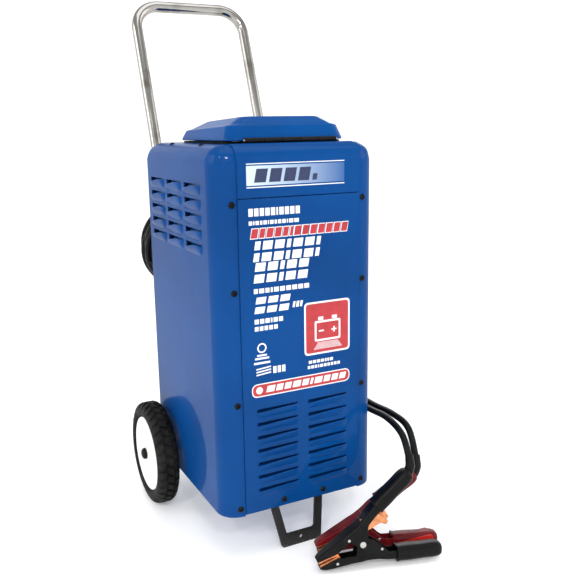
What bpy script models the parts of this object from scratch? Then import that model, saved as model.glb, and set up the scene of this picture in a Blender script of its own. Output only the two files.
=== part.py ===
"""Wheeled car battery charger: a rounded sheet-metal cabinet on two wheels and a strap foot.

Units are metres, +Z is up and -Y is the front. The origin is on the floor, under the middle
of the charger without its leads.
"""

import math

import bmesh
import bpy
from mathutils import Matrix, Vector

# Driving dimensions
GAP = 0.0003
SHEET = 0.0016
CABINET_WIDTH = 0.302
FRONT_Y = -0.2481
BACK_Y = 0.0979
CABINET_BOTTOM = 0.086
CABINET_TOP = 0.713
CORNER_RADIUS = 0.036
TOP_RADIUS = 0.030
PANEL_HALF = 0.1118
PANEL_PROUD = 0.0025
PANEL_PLAY = 0.0007
PANEL_TOP = 0.629
WHEEL_RADIUS = 0.1016
WHEEL_WIDTH = 0.044
WHEEL_OUTER_X = 0.201
AXLE_Y = 0.0509
AXLE_RADIUS = 0.00635
AXLE_HOLE = 0.0072
HANDLE_RADIUS = 0.011
HANDLE_HALF = 0.117
HANDLE_LEAN = math.radians(20.7)
HANDLE_TOP = 0.984
HANDLE_BOTTOM = 0.345
HANDLE_BEND_Z = 0.647
HOOD_HALF = 0.110
HOOD_FRONT = FRONT_Y + 0.033
HOOD_BACK = HOOD_FRONT + 0.228
LEAD_DIAMETER = 0.012
COIL_RADIUS = 0.062
COIL_CENTRE = Vector((-0.072, 0.0, 0.500))
POSITIVE_COIL_Y = 0.1429
NEGATIVE_COIL_Y = 0.1689

HALF_WIDTH = CABINET_WIDTH / 2
INSIDE_FRONT = FRONT_Y + SHEET
INSIDE_BACK = BACK_Y - SHEET
HANDLE_LEG_Y = BACK_Y + 0.0145

COLOURS = {
    "blue": ((0.010, 0.085, 0.420), 0.22, 0.0),
    "black": ((0.012, 0.012, 0.013), 0.55, 0.0),
    "chrome": ((0.80, 0.80, 0.80), 0.08, 1.0),
    "white": ((0.85, 0.84, 0.80), 0.35, 0.0),
    "rubber": ((0.020, 0.020, 0.020), 0.85, 0.0),
    "steel": ((0.55, 0.55, 0.56), 0.35, 1.0),
    "copper": ((0.72, 0.36, 0.20), 0.35, 1.0),
    "red": ((0.55, 0.02, 0.02), 0.45, 0.0),
    "clear": ((0.80, 0.85, 0.88), 0.05, 0.0),
    "varnish": ((0.30, 0.10, 0.03), 0.50, 0.0),
    "aluminium": ((0.62, 0.63, 0.64), 0.40, 1.0),
}


def fresh_collection(name):
    made = bpy.data.collections.new(name)
    bpy.context.scene.collection.children.link(made)
    return made


for old in list(bpy.data.objects):
    bpy.data.objects.remove(old, do_unlink=True)
PARTS = fresh_collection("battery_charger")
CUTTERS = fresh_collection("cutters")


def material_for(name, colour):
    made = bpy.data.materials.new(name)
    made.use_nodes = True
    shader = made.node_tree.nodes["Principled BSDF"]
    tint, rough, metal = COLOURS[colour]
    shader.inputs["Base Color"].default_value = (*tint, 1.0)
    shader.inputs["Roughness"].default_value = rough
    shader.inputs["Metallic"].default_value = metal
    return made


def place(name, data, colour):
    """A new part in the parts collection, with its own material."""
    obj = bpy.data.objects.new(name, data)
    obj.data.materials.append(material_for(name, colour))
    PARTS.objects.link(obj)
    return obj


def mesh_from(bm, name):
    bmesh.ops.recalc_face_normals(bm, faces=bm.faces)
    data = bpy.data.meshes.new(name)
    bm.to_mesh(data)
    bm.free()
    return data


def smooth(obj, degrees=35):
    obj.data.shade_smooth()
    obj.data.set_sharp_from_angle(angle=math.radians(degrees))
    return obj


def add_box(bm, low, high):
    size = Vector(high) - Vector(low)
    centre = (Vector(high) + Vector(low)) / 2
    bmesh.ops.create_cube(bm, size=1.0, matrix=Matrix.Translation(centre) @ Matrix.Diagonal((*size, 1.0)))


def box(name, low, high, colour, bevel=0.0):
    bm = bmesh.new()
    add_box(bm, low, high)
    if bevel:
        bmesh.ops.bevel(bm, geom=list(bm.edges), offset=bevel, segments=2, profile=0.5, affect="EDGES")
    return place(name, mesh_from(bm, name), colour)


def add_round(bm, start, end, radius, sides=16):
    """A cylinder between two points."""
    start = Vector(start)
    way = Vector(end) - start
    turn = way.to_track_quat("Z", "Y").to_matrix().to_4x4()
    bmesh.ops.create_cone(
        bm,
        cap_ends=True,
        segments=sides,
        radius1=radius,
        radius2=radius,
        depth=way.length,
        matrix=Matrix.Translation(start + way / 2) @ turn,
    )


def prism(name, outline, axis, low, high, colour=None):
    """An outline in the plane across the axis, made into a solid from low to high along it."""
    bm = bmesh.new()
    order = {"X": (1, 2, 0), "Y": (0, 2, 1), "Z": (0, 1, 2)}[axis]

    def point(pair, depth):
        made = [0.0, 0.0, 0.0]
        made[order[0]], made[order[1]], made[order[2]] = pair[0], pair[1], depth
        return made

    ends = [[bm.verts.new(point(pair, depth)) for pair in outline] for depth in (low, high)]
    count = len(outline)
    bm.faces.new(ends[0])
    bm.faces.new(ends[1])
    for i in range(count):
        j = (i + 1) % count
        bm.faces.new((ends[0][i], ends[0][j], ends[1][j], ends[1][i]))
    data = mesh_from(bm, name)
    if colour:
        return place(name, data, colour)
    return data


def as_cutter(data, name):
    obj = bpy.data.objects.new(name, data)
    obj.hide_render = True
    obj.display_type = "WIRE"
    CUTTERS.objects.link(obj)
    return obj


def cutter_of(name, build):
    """A cutter mesh filled by the build function."""
    bm = bmesh.new()
    build(bm)
    return as_cutter(mesh_from(bm, name), name)


def boolean(obj, cutter, operation="DIFFERENCE"):
    step = obj.modifiers.new(cutter.name, "BOOLEAN")
    step.object = cutter
    step.operation = operation


def rounded_outline(low, high, radii, steps=6):
    """A rectangle with a radius for each corner, going round from the low corner."""
    corners = (
        (low[0], low[1], 1, 1, math.pi),
        (high[0], low[1], -1, 1, -math.pi / 2),
        (high[0], high[1], -1, -1, 0.0),
        (low[0], high[1], 1, -1, math.pi / 2),
    )
    outline = []
    for (x, y, sx, sy, start), radius in zip(corners, radii):
        if radius == 0:
            outline.append((x, y))
            continue
        for i in range(steps + 1):
            angle = start + i / steps * math.pi / 2
            along = x + radius * (sx + math.cos(angle))
            outline.append((along, y + radius * (sy + math.sin(angle))))
    return outline


def turned(name, profile, centre, way, colour, steps=28):
    """A profile of (radius, distance along the way), turned about the way; both ends on it leave it open."""
    data = bpy.data.meshes.new(name)
    count = len(profile)
    edges = [(i, i + 1) for i in range(count - 1)]
    if profile[0][0] > 0.0:
        edges.append((count - 1, 0))
    data.from_pydata([(r, 0.0, z) for r, z in profile], edges, [])
    obj = place(name, data, colour)
    screw = obj.modifiers.new("turn", "SCREW")
    screw.steps = steps
    screw.render_steps = steps
    screw.use_merge_vertices = True
    screw.merge_threshold = 0.00001
    obj.location = centre
    obj.rotation_euler = Vector(way).to_track_quat("Z", "Y").to_euler()
    return obj


def tube(name, points, radius, colour, resolution=3):
    curve = bpy.data.curves.new(name, "CURVE")
    curve.dimensions = "3D"
    curve.bevel_depth = radius
    curve.bevel_resolution = resolution
    curve.use_fill_caps = True
    spline = curve.splines.new("POLY")
    spline.points.add(len(points) - 1)
    for item, point in zip(spline.points, points):
        item.co = (*point, 1.0)
    return place(name, curve, colour)


def smooth_route(points, spacing):
    """Points a set distance apart along a smooth curve through the route's own points."""
    route = [Vector(p) for p in points]
    ends = [2 * route[0] - route[1], *route, 2 * route[-1] - route[-2]]
    fine = []
    for a, b, c, d in zip(ends, ends[1:], ends[2:], ends[3:]):
        for i in range(24):
            t = i / 24
            square = (2 * a - 5 * b + 4 * c - d) * t**2
            cube = (3 * b - a - 3 * c + d) * t**3
            fine.append(0.5 * (2 * b + (c - a) * t + square + cube))
    fine.append(route[-1])
    lengths = [0.0]
    for p, q in zip(fine, fine[1:]):
        lengths.append(lengths[-1] + (q - p).length)
    count = max(2, round(lengths[-1] / spacing))
    made = []
    at = 0
    for i in range(count + 1):
        wanted = lengths[-1] * i / count
        while at < len(lengths) - 2 and lengths[at + 1] < wanted:
            at += 1
        span = max(lengths[at + 1] - lengths[at], 1e-9)
        made.append(fine[at].lerp(fine[at + 1], min(1.0, (wanted - lengths[at]) / span)))
    return made


# ---------------------------------------------------------------- cabinet

SIDE_LOUVRE_ROWS = 5
SIDE_LOUVRE_TOP = 0.6464
SIDE_LOUVRE_PITCH = 0.0247
SIDE_LOUVRE_LENGTH = 0.080
SIDE_LOUVRE_FRONTS = (FRONT_Y + 0.058, FRONT_Y + 0.150, FRONT_Y + 0.242)
FRONT_LOUVRE_ROWS = 7
FRONT_LOUVRE_TOP = 0.273
FRONT_LOUVRE_PITCH = 0.0239
FRONT_LOUVRE_SPAN = (0.0085, 0.0888)
LOUVRE_HEIGHT = 0.006
CONTROL_OPENING = ((-0.090, HOOD_FRONT + 0.021), (0.090, HOOD_BACK - 0.020))
BACK_OPENING_HALF = 0.137
BACK_OPENING_TOP = 0.668


def cabinet_shell():
    bm = bmesh.new()
    add_box(bm, (-HALF_WIDTH, FRONT_Y, CABINET_BOTTOM), (HALF_WIDTH, BACK_Y, CABINET_TOP))
    bottom = [f for f in bm.faces if f.normal.z < -0.5]
    bmesh.ops.delete(bm, geom=bottom, context="FACES_ONLY")
    weight = bm.edges.layers.float.new("bevel_weight_edge")
    for edge in bm.edges:
        middle = (edge.verts[0].co + edge.verts[1].co) / 2
        upright = abs(edge.verts[0].co.z - edge.verts[1].co.z) > 0.1
        if upright:
            edge[weight] = CORNER_RADIUS / 0.04 if middle.y < 0 else 0.008 / 0.04
        elif middle.z > 0.5:
            edge[weight] = TOP_RADIUS / 0.04
    obj = place("cabinet_shell", mesh_from(bm, "cabinet_shell"), "blue")
    bevel = obj.modifiers.new("corners", "BEVEL")
    bevel.limit_method = "WEIGHT"
    bevel.width = 0.04
    bevel.segments = 5
    bevel.use_clamp_overlap = False
    wall = obj.modifiers.new("sheet", "SOLIDIFY")
    wall.thickness = SHEET
    wall.offset = -1.0
    wall.use_even_offset = True

    def openings(bm):
        through = 0.01
        below = 0.05
        half = PANEL_HALF + PANEL_PLAY
        add_box(bm, (-half, FRONT_Y - through, below), (half, FRONT_Y + through, PANEL_TOP))
        low, high = CONTROL_OPENING
        add_box(bm, (*low, CABINET_TOP - through), (*high, CABINET_TOP + through))
        half = BACK_OPENING_HALF
        add_box(bm, (-half, BACK_Y - through, below), (half, BACK_Y + through, BACK_OPENING_TOP))
        reach = HALF_WIDTH + through
        add_round(bm, (-reach, AXLE_Y, WHEEL_RADIUS), (reach, AXLE_Y, WHEEL_RADIUS), AXLE_HOLE)

    boolean(obj, cutter_of("shell_openings", openings))

    def side_slots(bm):
        for row in range(SIDE_LOUVRE_ROWS):
            z = SIDE_LOUVRE_TOP - row * SIDE_LOUVRE_PITCH
            for y in SIDE_LOUVRE_FRONTS:
                for side in (-1, 1):
                    ends = sorted((side * (HALF_WIDTH - 0.01), side * (HALF_WIDTH + 0.01)))
                    low = (ends[0], y, z - LOUVRE_HEIGHT / 2)
                    add_box(bm, low, (ends[1], y + SIDE_LOUVRE_LENGTH, z + LOUVRE_HEIGHT / 2))

    boolean(obj, cutter_of("side_slots", side_slots))
    smooth(obj)


def front_panel():
    """A raised tray whose flanges lie behind the shell and follow its rounded corners."""
    face = FRONT_Y - PANEL_PROUD
    centre = (HALF_WIDTH - CORNER_RADIUS, FRONT_Y + CORNER_RADIUS)
    angles = [math.radians(25) * i / 4 for i in range(5)]

    def flange(radius):
        return [(centre[0] + radius * math.sin(a), centre[1] - radius * math.cos(a)) for a in angles]

    front = flange(CORNER_RADIUS - SHEET - 3 * GAP)
    back = flange(CORNER_RADIUS - 2 * SHEET - 3 * GAP)
    half = [(PANEL_HALF - 0.0013, face), (PANEL_HALF, face + 0.0010), (PANEL_HALF, INSIDE_FRONT + 3 * GAP)]
    half += front + back[::-1]
    half += [(PANEL_HALF - SHEET, INSIDE_FRONT + 3 * GAP + SHEET), (PANEL_HALF - SHEET, face + SHEET)]
    outline = half + [(-x, y) for x, y in reversed(half)]
    obj = prism("front_panel", outline, "Z", 0.0895, PANEL_TOP - 0.0008, "blue")

    def slots(bm):
        for row in range(FRONT_LOUVRE_ROWS):
            z = FRONT_LOUVRE_TOP - row * FRONT_LOUVRE_PITCH
            for side in (-1, 1):
                ends = sorted(side * x for x in FRONT_LOUVRE_SPAN)
                low = (ends[0], face - 0.01, z - LOUVRE_HEIGHT / 2)
                add_box(bm, low, (ends[1], face + 0.01, z + LOUVRE_HEIGHT / 2))

    boolean(obj, cutter_of("front_slots", slots))


def header_panel():
    """A plate that stands proud above the front panel and wraps over the top edge."""
    inner = TOP_RADIUS + GAP
    outer = TOP_RADIUS + PANEL_PROUD
    centre = (FRONT_Y + TOP_RADIUS, CABINET_TOP - TOP_RADIUS)
    outline = [(centre[0] - outer, PANEL_TOP + 0.0015)]
    for i in range(9):
        angle = math.pi - math.radians(74) * i / 8
        outline.append((centre[0] + outer * math.cos(angle), centre[1] + outer * math.sin(angle)))
    for i in range(9):
        angle = math.pi - math.radians(74) * (8 - i) / 8
        outline.append((centre[0] + inner * math.cos(angle), centre[1] + inner * math.sin(angle)))
    outline.append((centre[0] - inner, PANEL_TOP + 0.0015))
    smooth(prism("header_panel", outline, "X", -PANEL_HALF, PANEL_HALF, "blue"))


def back_panel():
    low = (-0.141, INSIDE_BACK - GAP - SHEET, 0.0895)
    obj = box("back_panel", low, (0.141, INSIDE_BACK - GAP, 0.681), "blue")

    def holes(bm):
        for x, z in (*GLAND_PLACES.values(), INLET_PLACE):
            add_round(bm, (x, BACK_Y - 0.02, z), (x, BACK_Y + 0.02, z), 0.0092)
        for row in range(5):
            z = 0.235 - row * 0.016
            add_box(bm, (-0.060, BACK_Y - 0.02, z), (0.060, BACK_Y + 0.02, z + 0.005))

    boolean(obj, cutter_of("back_holes", holes))


def base_plate():
    inset = SHEET + GAP
    outline = rounded_outline(
        (-HALF_WIDTH + inset, FRONT_Y + inset + 0.002),
        (HALF_WIDTH - inset, INSIDE_BACK - 2 * GAP - SHEET),
        (CORNER_RADIUS, CORNER_RADIUS, 0.006, 0.006),
    )
    prism("base_plate", outline, "Z", CABINET_BOTTOM + GAP, CABINET_BOTTOM + 0.0030, "blue")


# ---------------------------------------------------------------- controls under the hood

PANEL_Z = CABINET_TOP - SHEET - GAP
AMMETER = (0.044, HOOD_FRONT + 0.064)
TIMER = (-0.044, HOOD_FRONT + 0.064)
VOLTAGE = (0.052, HOOD_FRONT + 0.158)
RATE = (-0.052, HOOD_FRONT + 0.158)
ROCKER = (0.0, HOOD_FRONT + 0.168)
BREAKER = (0.0, HOOD_FRONT + 0.128)
AMMETER_SIZE = (0.068, 0.052)
NEEDLE_PIVOT = (AMMETER[0], AMMETER[1] + 0.014)
NEEDLE_REACH = 0.030
NEEDLE_START = math.radians(-45)


def control_panel():
    low = (CONTROL_OPENING[0][0] - 0.006, CONTROL_OPENING[0][1] - 0.006, PANEL_Z - SHEET)
    high = (CONTROL_OPENING[1][0] + 0.006, CONTROL_OPENING[1][1] + 0.006, PANEL_Z)
    obj = box("control_panel", low, high, "black")

    def holes(bm):
        for x, y in (TIMER, VOLTAGE, RATE, BREAKER):
            add_round(bm, (x, y, PANEL_Z - 0.02), (x, y, PANEL_Z + 0.02), 0.0042)
        width, depth = AMMETER_SIZE
        x, y = AMMETER
        low = (x - width / 2 + 0.004, y - depth / 2 + 0.004, PANEL_Z - 0.02)
        add_box(bm, low, (x + width / 2 - 0.004, y + depth / 2 - 0.004, PANEL_Z + 0.02))
        x, y = ROCKER
        add_box(bm, (x - 0.0075, y - 0.0115, PANEL_Z - 0.02), (x + 0.0075, y + 0.0115, PANEL_Z + 0.02))

    boolean(obj, cutter_of("control_holes", holes))


def ammeter():
    x, y = AMMETER
    width, depth = AMMETER_SIZE
    base = PANEL_Z + GAP
    low = (x - width / 2, y - depth / 2, base)
    case = box("ammeter_case", low, (x + width / 2, y + depth / 2, base + 0.009), "black")

    def dial(bm):
        low = (x - width / 2 + 0.003, y - depth / 2 + 0.003, base + 0.0025)
        add_box(bm, low, (x + width / 2 - 0.003, y + depth / 2 - 0.003, base + 0.02))

    def stud(bm):
        add_round(bm, (*NEEDLE_PIVOT, base + 0.001), (*NEEDLE_PIVOT, base + 0.0036), 0.0012, sides=12)

    boolean(case, cutter_of("dial_recess", dial))
    boolean(case, cutter_of("needle_stud", stud), "UNION")
    low = (x - width / 2 + 0.0034, y - depth / 2 + 0.0034, base + 0.0070)
    box("ammeter_lens", low, (x + width / 2 - 0.0034, y + depth / 2 - 0.0034, base + 0.0086), "clear")
    outline = [(-0.0010, 0.006), (-0.0005, -NEEDLE_REACH), (0.0005, -NEEDLE_REACH), (0.0010, 0.006)]
    turn = Matrix.Rotation(NEEDLE_START, 2)
    outline = [tuple(turn @ Vector(pair)) for pair in outline]
    needle = prism("ammeter_needle", outline, "Z", 0.0, 0.0008, "red")
    needle.location = (*NEEDLE_PIVOT, base + 0.0040)


def knob(name, centre, radius, height):
    """A skirted knob with a grip bar and a shaft through the panel."""
    skirt = [
        (0.0, height * 0.55),
        (radius * 0.80, height * 0.55),
        (radius * 0.86, height * 0.30),
        (radius, height * 0.12),
        (radius, 0.0),
        (0.0038, 0.0),
        (0.0038, -0.010),
        (0.0, -0.010),
    ]
    obj = turned(name, skirt, (*centre, PANEL_Z + 0.0006), (0, 0, 1), "black", 20)

    def grip(bm):
        half_width = 0.0032
        add_box(bm, (-half_width, -radius * 0.9, 0.0014), (half_width, radius * 0.9, height))

    bar = cutter_of(name + "_grip", grip)
    bar.parent = obj
    boolean(obj, bar, "UNION")


def rocker_and_breaker():
    x, y = ROCKER
    outline = [(-0.0100, 0.0060), (0.0, 0.0032), (0.0100, 0.0042), (0.0086, -0.0060), (-0.0086, -0.0060)]
    rocker = prism("power_rocker", outline, "X", -0.0066, 0.0066, "red")
    rocker.location = (x, y, PANEL_Z)
    x, y = BREAKER
    bm = bmesh.new()
    add_round(bm, (0, 0, -0.012), (0, 0, 0.0060), 0.0038)
    button = place("breaker_button", mesh_from(bm, "breaker_button"), "red")
    button.location = (x, y, PANEL_Z)


# ---------------------------------------------------------------- hinged weather hood

HOOD_BASE = CABINET_TOP + 0.0050
HINGE_Y = HOOD_FRONT - 0.0052
HINGE_Z = CABINET_TOP + 0.0054
HINGE_SPAN = 0.084
HOOD_SLOPE = 0.009 / (HOOD_BACK - HOOD_FRONT)
HOOD_AXIS = bpy.data.objects.new("hood_axis", None)
HOOD_AXIS.location = (0.0, HINGE_Y, HINGE_Z)
PARTS.objects.link(HOOD_AXIS)


def on_hood_axis(obj):
    """Hung on the hinge's axis, and left where it is."""
    obj.parent = HOOD_AXIS
    obj.matrix_parent_inverse = Matrix.Translation((0.0, -HINGE_Y, -HINGE_Z))


def hood_ring(bm, side, front, back, chamfer, height, slope):
    """Eight corners of the hood's plan at one level; the level falls toward the back."""
    x = HOOD_HALF - side
    low = HOOD_FRONT + front
    high = HOOD_BACK - back
    plan = [
        (-x + chamfer, low),
        (x - chamfer, low),
        (x, low + chamfer),
        (x, high - chamfer * 0.6),
        (x - chamfer * 0.6, high),
        (-x + chamfer * 0.6, high),
        (-x, high - chamfer * 0.6),
        (-x, low + chamfer),
    ]
    return [bm.verts.new((px, py, height - slope * (py - HOOD_FRONT))) for px, py in plan]


def control_hood():
    bm = bmesh.new()
    rings = [
        hood_ring(bm, 0.0, 0.0, 0.0, 0.015, HOOD_BASE, 0.0),
        hood_ring(bm, 0.0075, 0.010, 0.005, 0.013, 0.7430, HOOD_SLOPE),
        hood_ring(bm, 0.016, 0.014, 0.012, 0.012, 0.7450, HOOD_SLOPE),
        hood_ring(bm, 0.038, 0.023, 0.040, 0.012, 0.7575, HOOD_SLOPE),
    ]
    for lower, upper in zip(rings, rings[1:]):
        for i in range(8):
            j = (i + 1) % 8
            bm.faces.new((lower[i], lower[j], upper[j], upper[i]))
    bm.faces.new(rings[-1])
    obj = place("control_hood", mesh_from(bm, "control_hood"), "blue")
    wall = obj.modifiers.new("sheet", "SOLIDIFY")
    wall.thickness = 0.002
    wall.offset = -1.0
    wall.use_even_offset = True
    on_hood_axis(obj)


def hood_gasket():
    low = (-HOOD_HALF + 0.004, HOOD_FRONT + 0.0125)
    high = (HOOD_HALF - 0.004, HOOD_BACK - 0.0015)
    outline = rounded_outline(low, high, (0.010,) * 4, 3)
    obj = prism("hood_gasket", outline, "Z", CABINET_TOP + GAP, CABINET_TOP + 0.0034, "rubber")
    inner_low, inner_high = CONTROL_OPENING

    def hole(bm):
        add_box(bm, (*inner_low, CABINET_TOP - 0.01), (*inner_high, CABINET_TOP + 0.01))

    boolean(obj, cutter_of("gasket_hole", hole))


def hinge_leaf(name, spans, plate_low, plate_high):
    """A leaf with barrels round the hinge pin."""
    bm = bmesh.new()
    low = (-HINGE_SPAN, HINGE_Y, plate_low)
    add_box(bm, low, (HINGE_SPAN, HOOD_FRONT + 0.0115, plate_high))
    obj = place(name, mesh_from(bm, name), "black")
    barrels = []
    for start, end in spans:

        def barrel(bm, start=start, end=end):
            add_round(bm, (start, HINGE_Y, HINGE_Z), (end, HINGE_Y, HINGE_Z), 0.0042)

        barrels.append(cutter_of(f"{name}_barrel_{len(barrels)}", barrel))
        boolean(obj, barrels[-1], "UNION")

    def pin_hole(bm):
        add_round(bm, (-0.12, HINGE_Y, HINGE_Z), (0.12, HINGE_Y, HINGE_Z), 0.0023)

    def between(bm):
        """Clears the leaf away beside its barrels, where the other leaf's barrels turn."""
        past = HINGE_SPAN + 0.01
        stops = [-past, *(x for span in spans for x in span), past]
        for left, right in zip(stops[::2], stops[1::2]):
            low = (left, HINGE_Y - 0.01, HINGE_Z - 0.02)
            add_box(bm, low, (right, HINGE_Y + 0.0046, HINGE_Z + 0.02))

    boolean(obj, cutter_of(name + "_between", between))
    boolean(obj, cutter_of(name + "_pin_hole", pin_hole))
    return obj


def hood_hinge():
    """Three barrels belong to the cabinet and two to the hood, with play between them."""
    step = 2 * HINGE_SPAN / 5
    edges = [-HINGE_SPAN + i * step for i in range(6)]
    play = 0.0004
    base_spans = [(edges[i] + play, edges[i + 1] - play) for i in (0, 2, 4)]
    lid_spans = [(edges[i] + play, edges[i + 1] - play) for i in (1, 3)]
    hinge_leaf("hood_hinge_base", base_spans, CABINET_TOP + GAP, CABINET_TOP + 0.0016)
    lid = hinge_leaf("hood_hinge_leaf", lid_spans, CABINET_TOP + 0.0021, CABINET_TOP + 0.0034)
    on_hood_axis(lid)
    for step in lid.modifiers:
        on_hood_axis(step.object)
    bm = bmesh.new()
    reach = HINGE_SPAN + 0.002
    add_round(bm, (-reach, HINGE_Y, HINGE_Z), (reach, HINGE_Y, HINGE_Z), 0.0020)
    place("hood_hinge_pin", mesh_from(bm, "hood_hinge_pin"), "steel")


# ---------------------------------------------------------------- running gear


def wheel(side):
    name = "left" if side < 0 else "right"
    outer = WHEEL_OUTER_X
    inner = outer - WHEEL_WIDTH
    middle = (outer + inner) / 2
    radius = WHEEL_RADIUS
    bore = 0.0738
    half = WHEEL_WIDTH / 2
    tyre_profile = [
        (bore, half - 0.006),
        (bore + 0.004, half - 0.001),
        (bore + 0.012, half),
        (radius - 0.009, half - 0.0015),
        (radius - 0.002, half - 0.007),
        (radius, half - 0.014),
        (radius, -half + 0.014),
        (radius - 0.002, -half + 0.007),
        (radius - 0.009, -half + 0.0015),
        (bore + 0.012, -half),
        (bore + 0.004, -half + 0.001),
        (bore, -half + 0.006),
    ]
    turned(f"tyre_{name}", tyre_profile, (side * middle, AXLE_Y, radius), (1, 0, 0), "rubber", 32)
    edge = bore - 0.0005
    hub = 0.0135
    shaft = AXLE_RADIUS + 0.0003
    face = half - 0.004
    rim_profile = [
        (shaft, face + 0.001),
        (hub, face + 0.001),
        (hub + 0.003, face - 0.004),
        (edge - 0.010, face - 0.002),
        (edge - 0.004, face),
        (edge, face - 0.002),
        (edge, -face + 0.002),
        (edge - 0.003, -face),
        (edge - 0.003, face - 0.008),
        (hub + 0.004, face - 0.010),
        (hub, face - 0.012),
        (hub, -half + 0.001),
        (shaft, -half + 0.001),
    ]
    if side < 0:
        rim_profile = [(r, -z) for r, z in reversed(rim_profile)]
    turned(f"wheel_rim_{name}", rim_profile, (side * middle, AXLE_Y, radius), (1, 0, 0), "white", 32)
    cap_profile = [
        (0.0, 0.0085),
        (0.0060, 0.0078),
        (0.0100, 0.0055),
        (0.0112, 0.0020),
        (0.0112, 0.0),
        (AXLE_RADIUS + 0.0003, 0.0),
        (AXLE_RADIUS + 0.0003, 0.0045),
        (0.0, 0.0045),
    ]
    cap_centre = (side * (outer - 0.0022), AXLE_Y, radius)
    turned(f"axle_cap_{name}", cap_profile, cap_centre, (side, 0, 0), "black", 20)


def axle():
    end = WHEEL_OUTER_X + 0.0018
    bm = bmesh.new()
    add_round(bm, (-end, AXLE_Y, WHEEL_RADIUS), (end, AXLE_Y, WHEEL_RADIUS), AXLE_RADIUS)
    place("axle", mesh_from(bm, "axle"), "steel")
    for side, name in ((-1, "left"), (1, "right")):
        centre = side * 0.138
        low = CABINET_BOTTOM + 0.0033
        outline = [(AXLE_Y - 0.026, low), (AXLE_Y + 0.026, low)]
        outline += [(AXLE_Y + 0.012, low + 0.026), (AXLE_Y - 0.012, low + 0.026)]
        bracket = prism(f"axle_bracket_{name}", outline, "X", centre - 0.004, centre + 0.004, "steel")

        def bore(bm, centre=centre):
            ends = ((centre - 0.02, AXLE_Y, WHEEL_RADIUS), (centre + 0.02, AXLE_Y, WHEEL_RADIUS))
            add_round(bm, *ends, AXLE_RADIUS + GAP)

        boolean(bracket, cutter_of(f"axle_bore_{name}", bore))


FOOT_TOP_Y = FRONT_Y + 0.030
FOOT_BOTTOM_Y = FRONT_Y + 0.0095


def foot_strap():
    """A flat strap bent to a U that splays forward, with a bolt hole in the crossbar."""
    strap = 0.0155
    thick = 0.0045
    top = CABINET_BOTTOM - GAP
    outer_top, outer_bottom = 0.0545, 0.0395
    outer = [(-outer_top, top), (-outer_bottom, 0.003), (-outer_bottom + 0.004, 0.0)]
    inner_low = 0.0215
    slope = (outer_top - outer_bottom) / top
    inner_top = outer_top - strap
    inner_bottom = inner_top - slope * (top - inner_low)
    half = [(outer_bottom - 0.004, 0.0), (outer_bottom, 0.003), (outer_top, top)]
    inner = [(inner_top, top), (inner_bottom, inner_low), (-inner_bottom, inner_low), (-inner_top, top)]
    outline = outer + half + inner
    obj = prism("foot_strap", outline, "Y", -thick / 2, thick / 2, "black")
    lean = (FOOT_TOP_Y - FOOT_BOTTOM_Y) / top
    for vertex in obj.data.vertices:
        vertex.co.y += FOOT_BOTTOM_Y + lean * vertex.co.z

    def hole(bm):
        add_round(bm, (0.0, FOOT_BOTTOM_Y - 0.02, 0.011), (0.0, FOOT_BOTTOM_Y + 0.02, 0.011), 0.0028)

    boolean(obj, cutter_of("foot_hole", hole))


# ---------------------------------------------------------------- handle


def handle_tube():
    lean = Vector((0.0, math.sin(HANDLE_LEAN), math.cos(HANDLE_LEAN)))
    low = Vector((0.0, HANDLE_LEG_Y, HANDLE_BOTTOM))
    bend = Vector((0.0, HANDLE_LEG_Y, HANDLE_BEND_Z))
    bend_radius = 0.060
    tangent = bend_radius * math.tan(HANDLE_LEAN / 2)
    corner = 0.050
    rise = (HANDLE_TOP - HANDLE_BEND_Z) / math.cos(HANDLE_LEAN)
    side = [low]
    for i in range(5):
        angle = HANDLE_LEAN * i / 4
        y = bend_radius * (1 - math.cos(angle))
        z = bend_radius * math.sin(angle) - tangent
        side.append(bend + Vector((0.0, y, z)))
    top = bend + lean * rise
    arc = []
    for i in range(9):
        angle = math.pi / 2 * i / 8
        back_from_corner = corner * (1 - math.cos(angle))
        up = corner * math.sin(angle)
        arc.append((back_from_corner, up))
    points = [Vector((HANDLE_HALF, p.y, p.z)) for p in side]
    for inward, up in arc:
        p = top + lean * (up - corner)
        points.append(Vector((HANDLE_HALF - inward, p.y, p.z)))
    points += [Vector((-p.x, p.y, p.z)) for p in reversed(points)]
    tube("handle_tube", points, HANDLE_RADIUS, "chrome", 4)


def handle_straps():
    for name, z in (("lower", 0.370), ("upper", 0.622)):
        front = BACK_Y + GAP
        bm = bmesh.new()
        add_box(bm, (-0.135, front, z - 0.0125), (0.135, front + 0.0270, z + 0.0125))
        obj = place(f"handle_strap_{name}", mesh_from(bm, f"handle_strap_{name}"), "black")

        def clear(bm, z=z, front=front):
            add_box(bm, (-0.099, front + 0.0025, z - 0.02), (0.099, front + 0.04, z + 0.02))
            hole = HANDLE_RADIUS + 2 * GAP
            for x in (-HANDLE_HALF, HANDLE_HALF):
                add_round(bm, (x, HANDLE_LEG_Y, z - 0.02), (x, HANDLE_LEG_Y, z + 0.02), hole, sides=24)

        boolean(obj, cutter_of(f"strap_clearance_{name}", clear))


# ---------------------------------------------------------------- power parts inside

CORE_Y = FRONT_Y + 0.125


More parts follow.
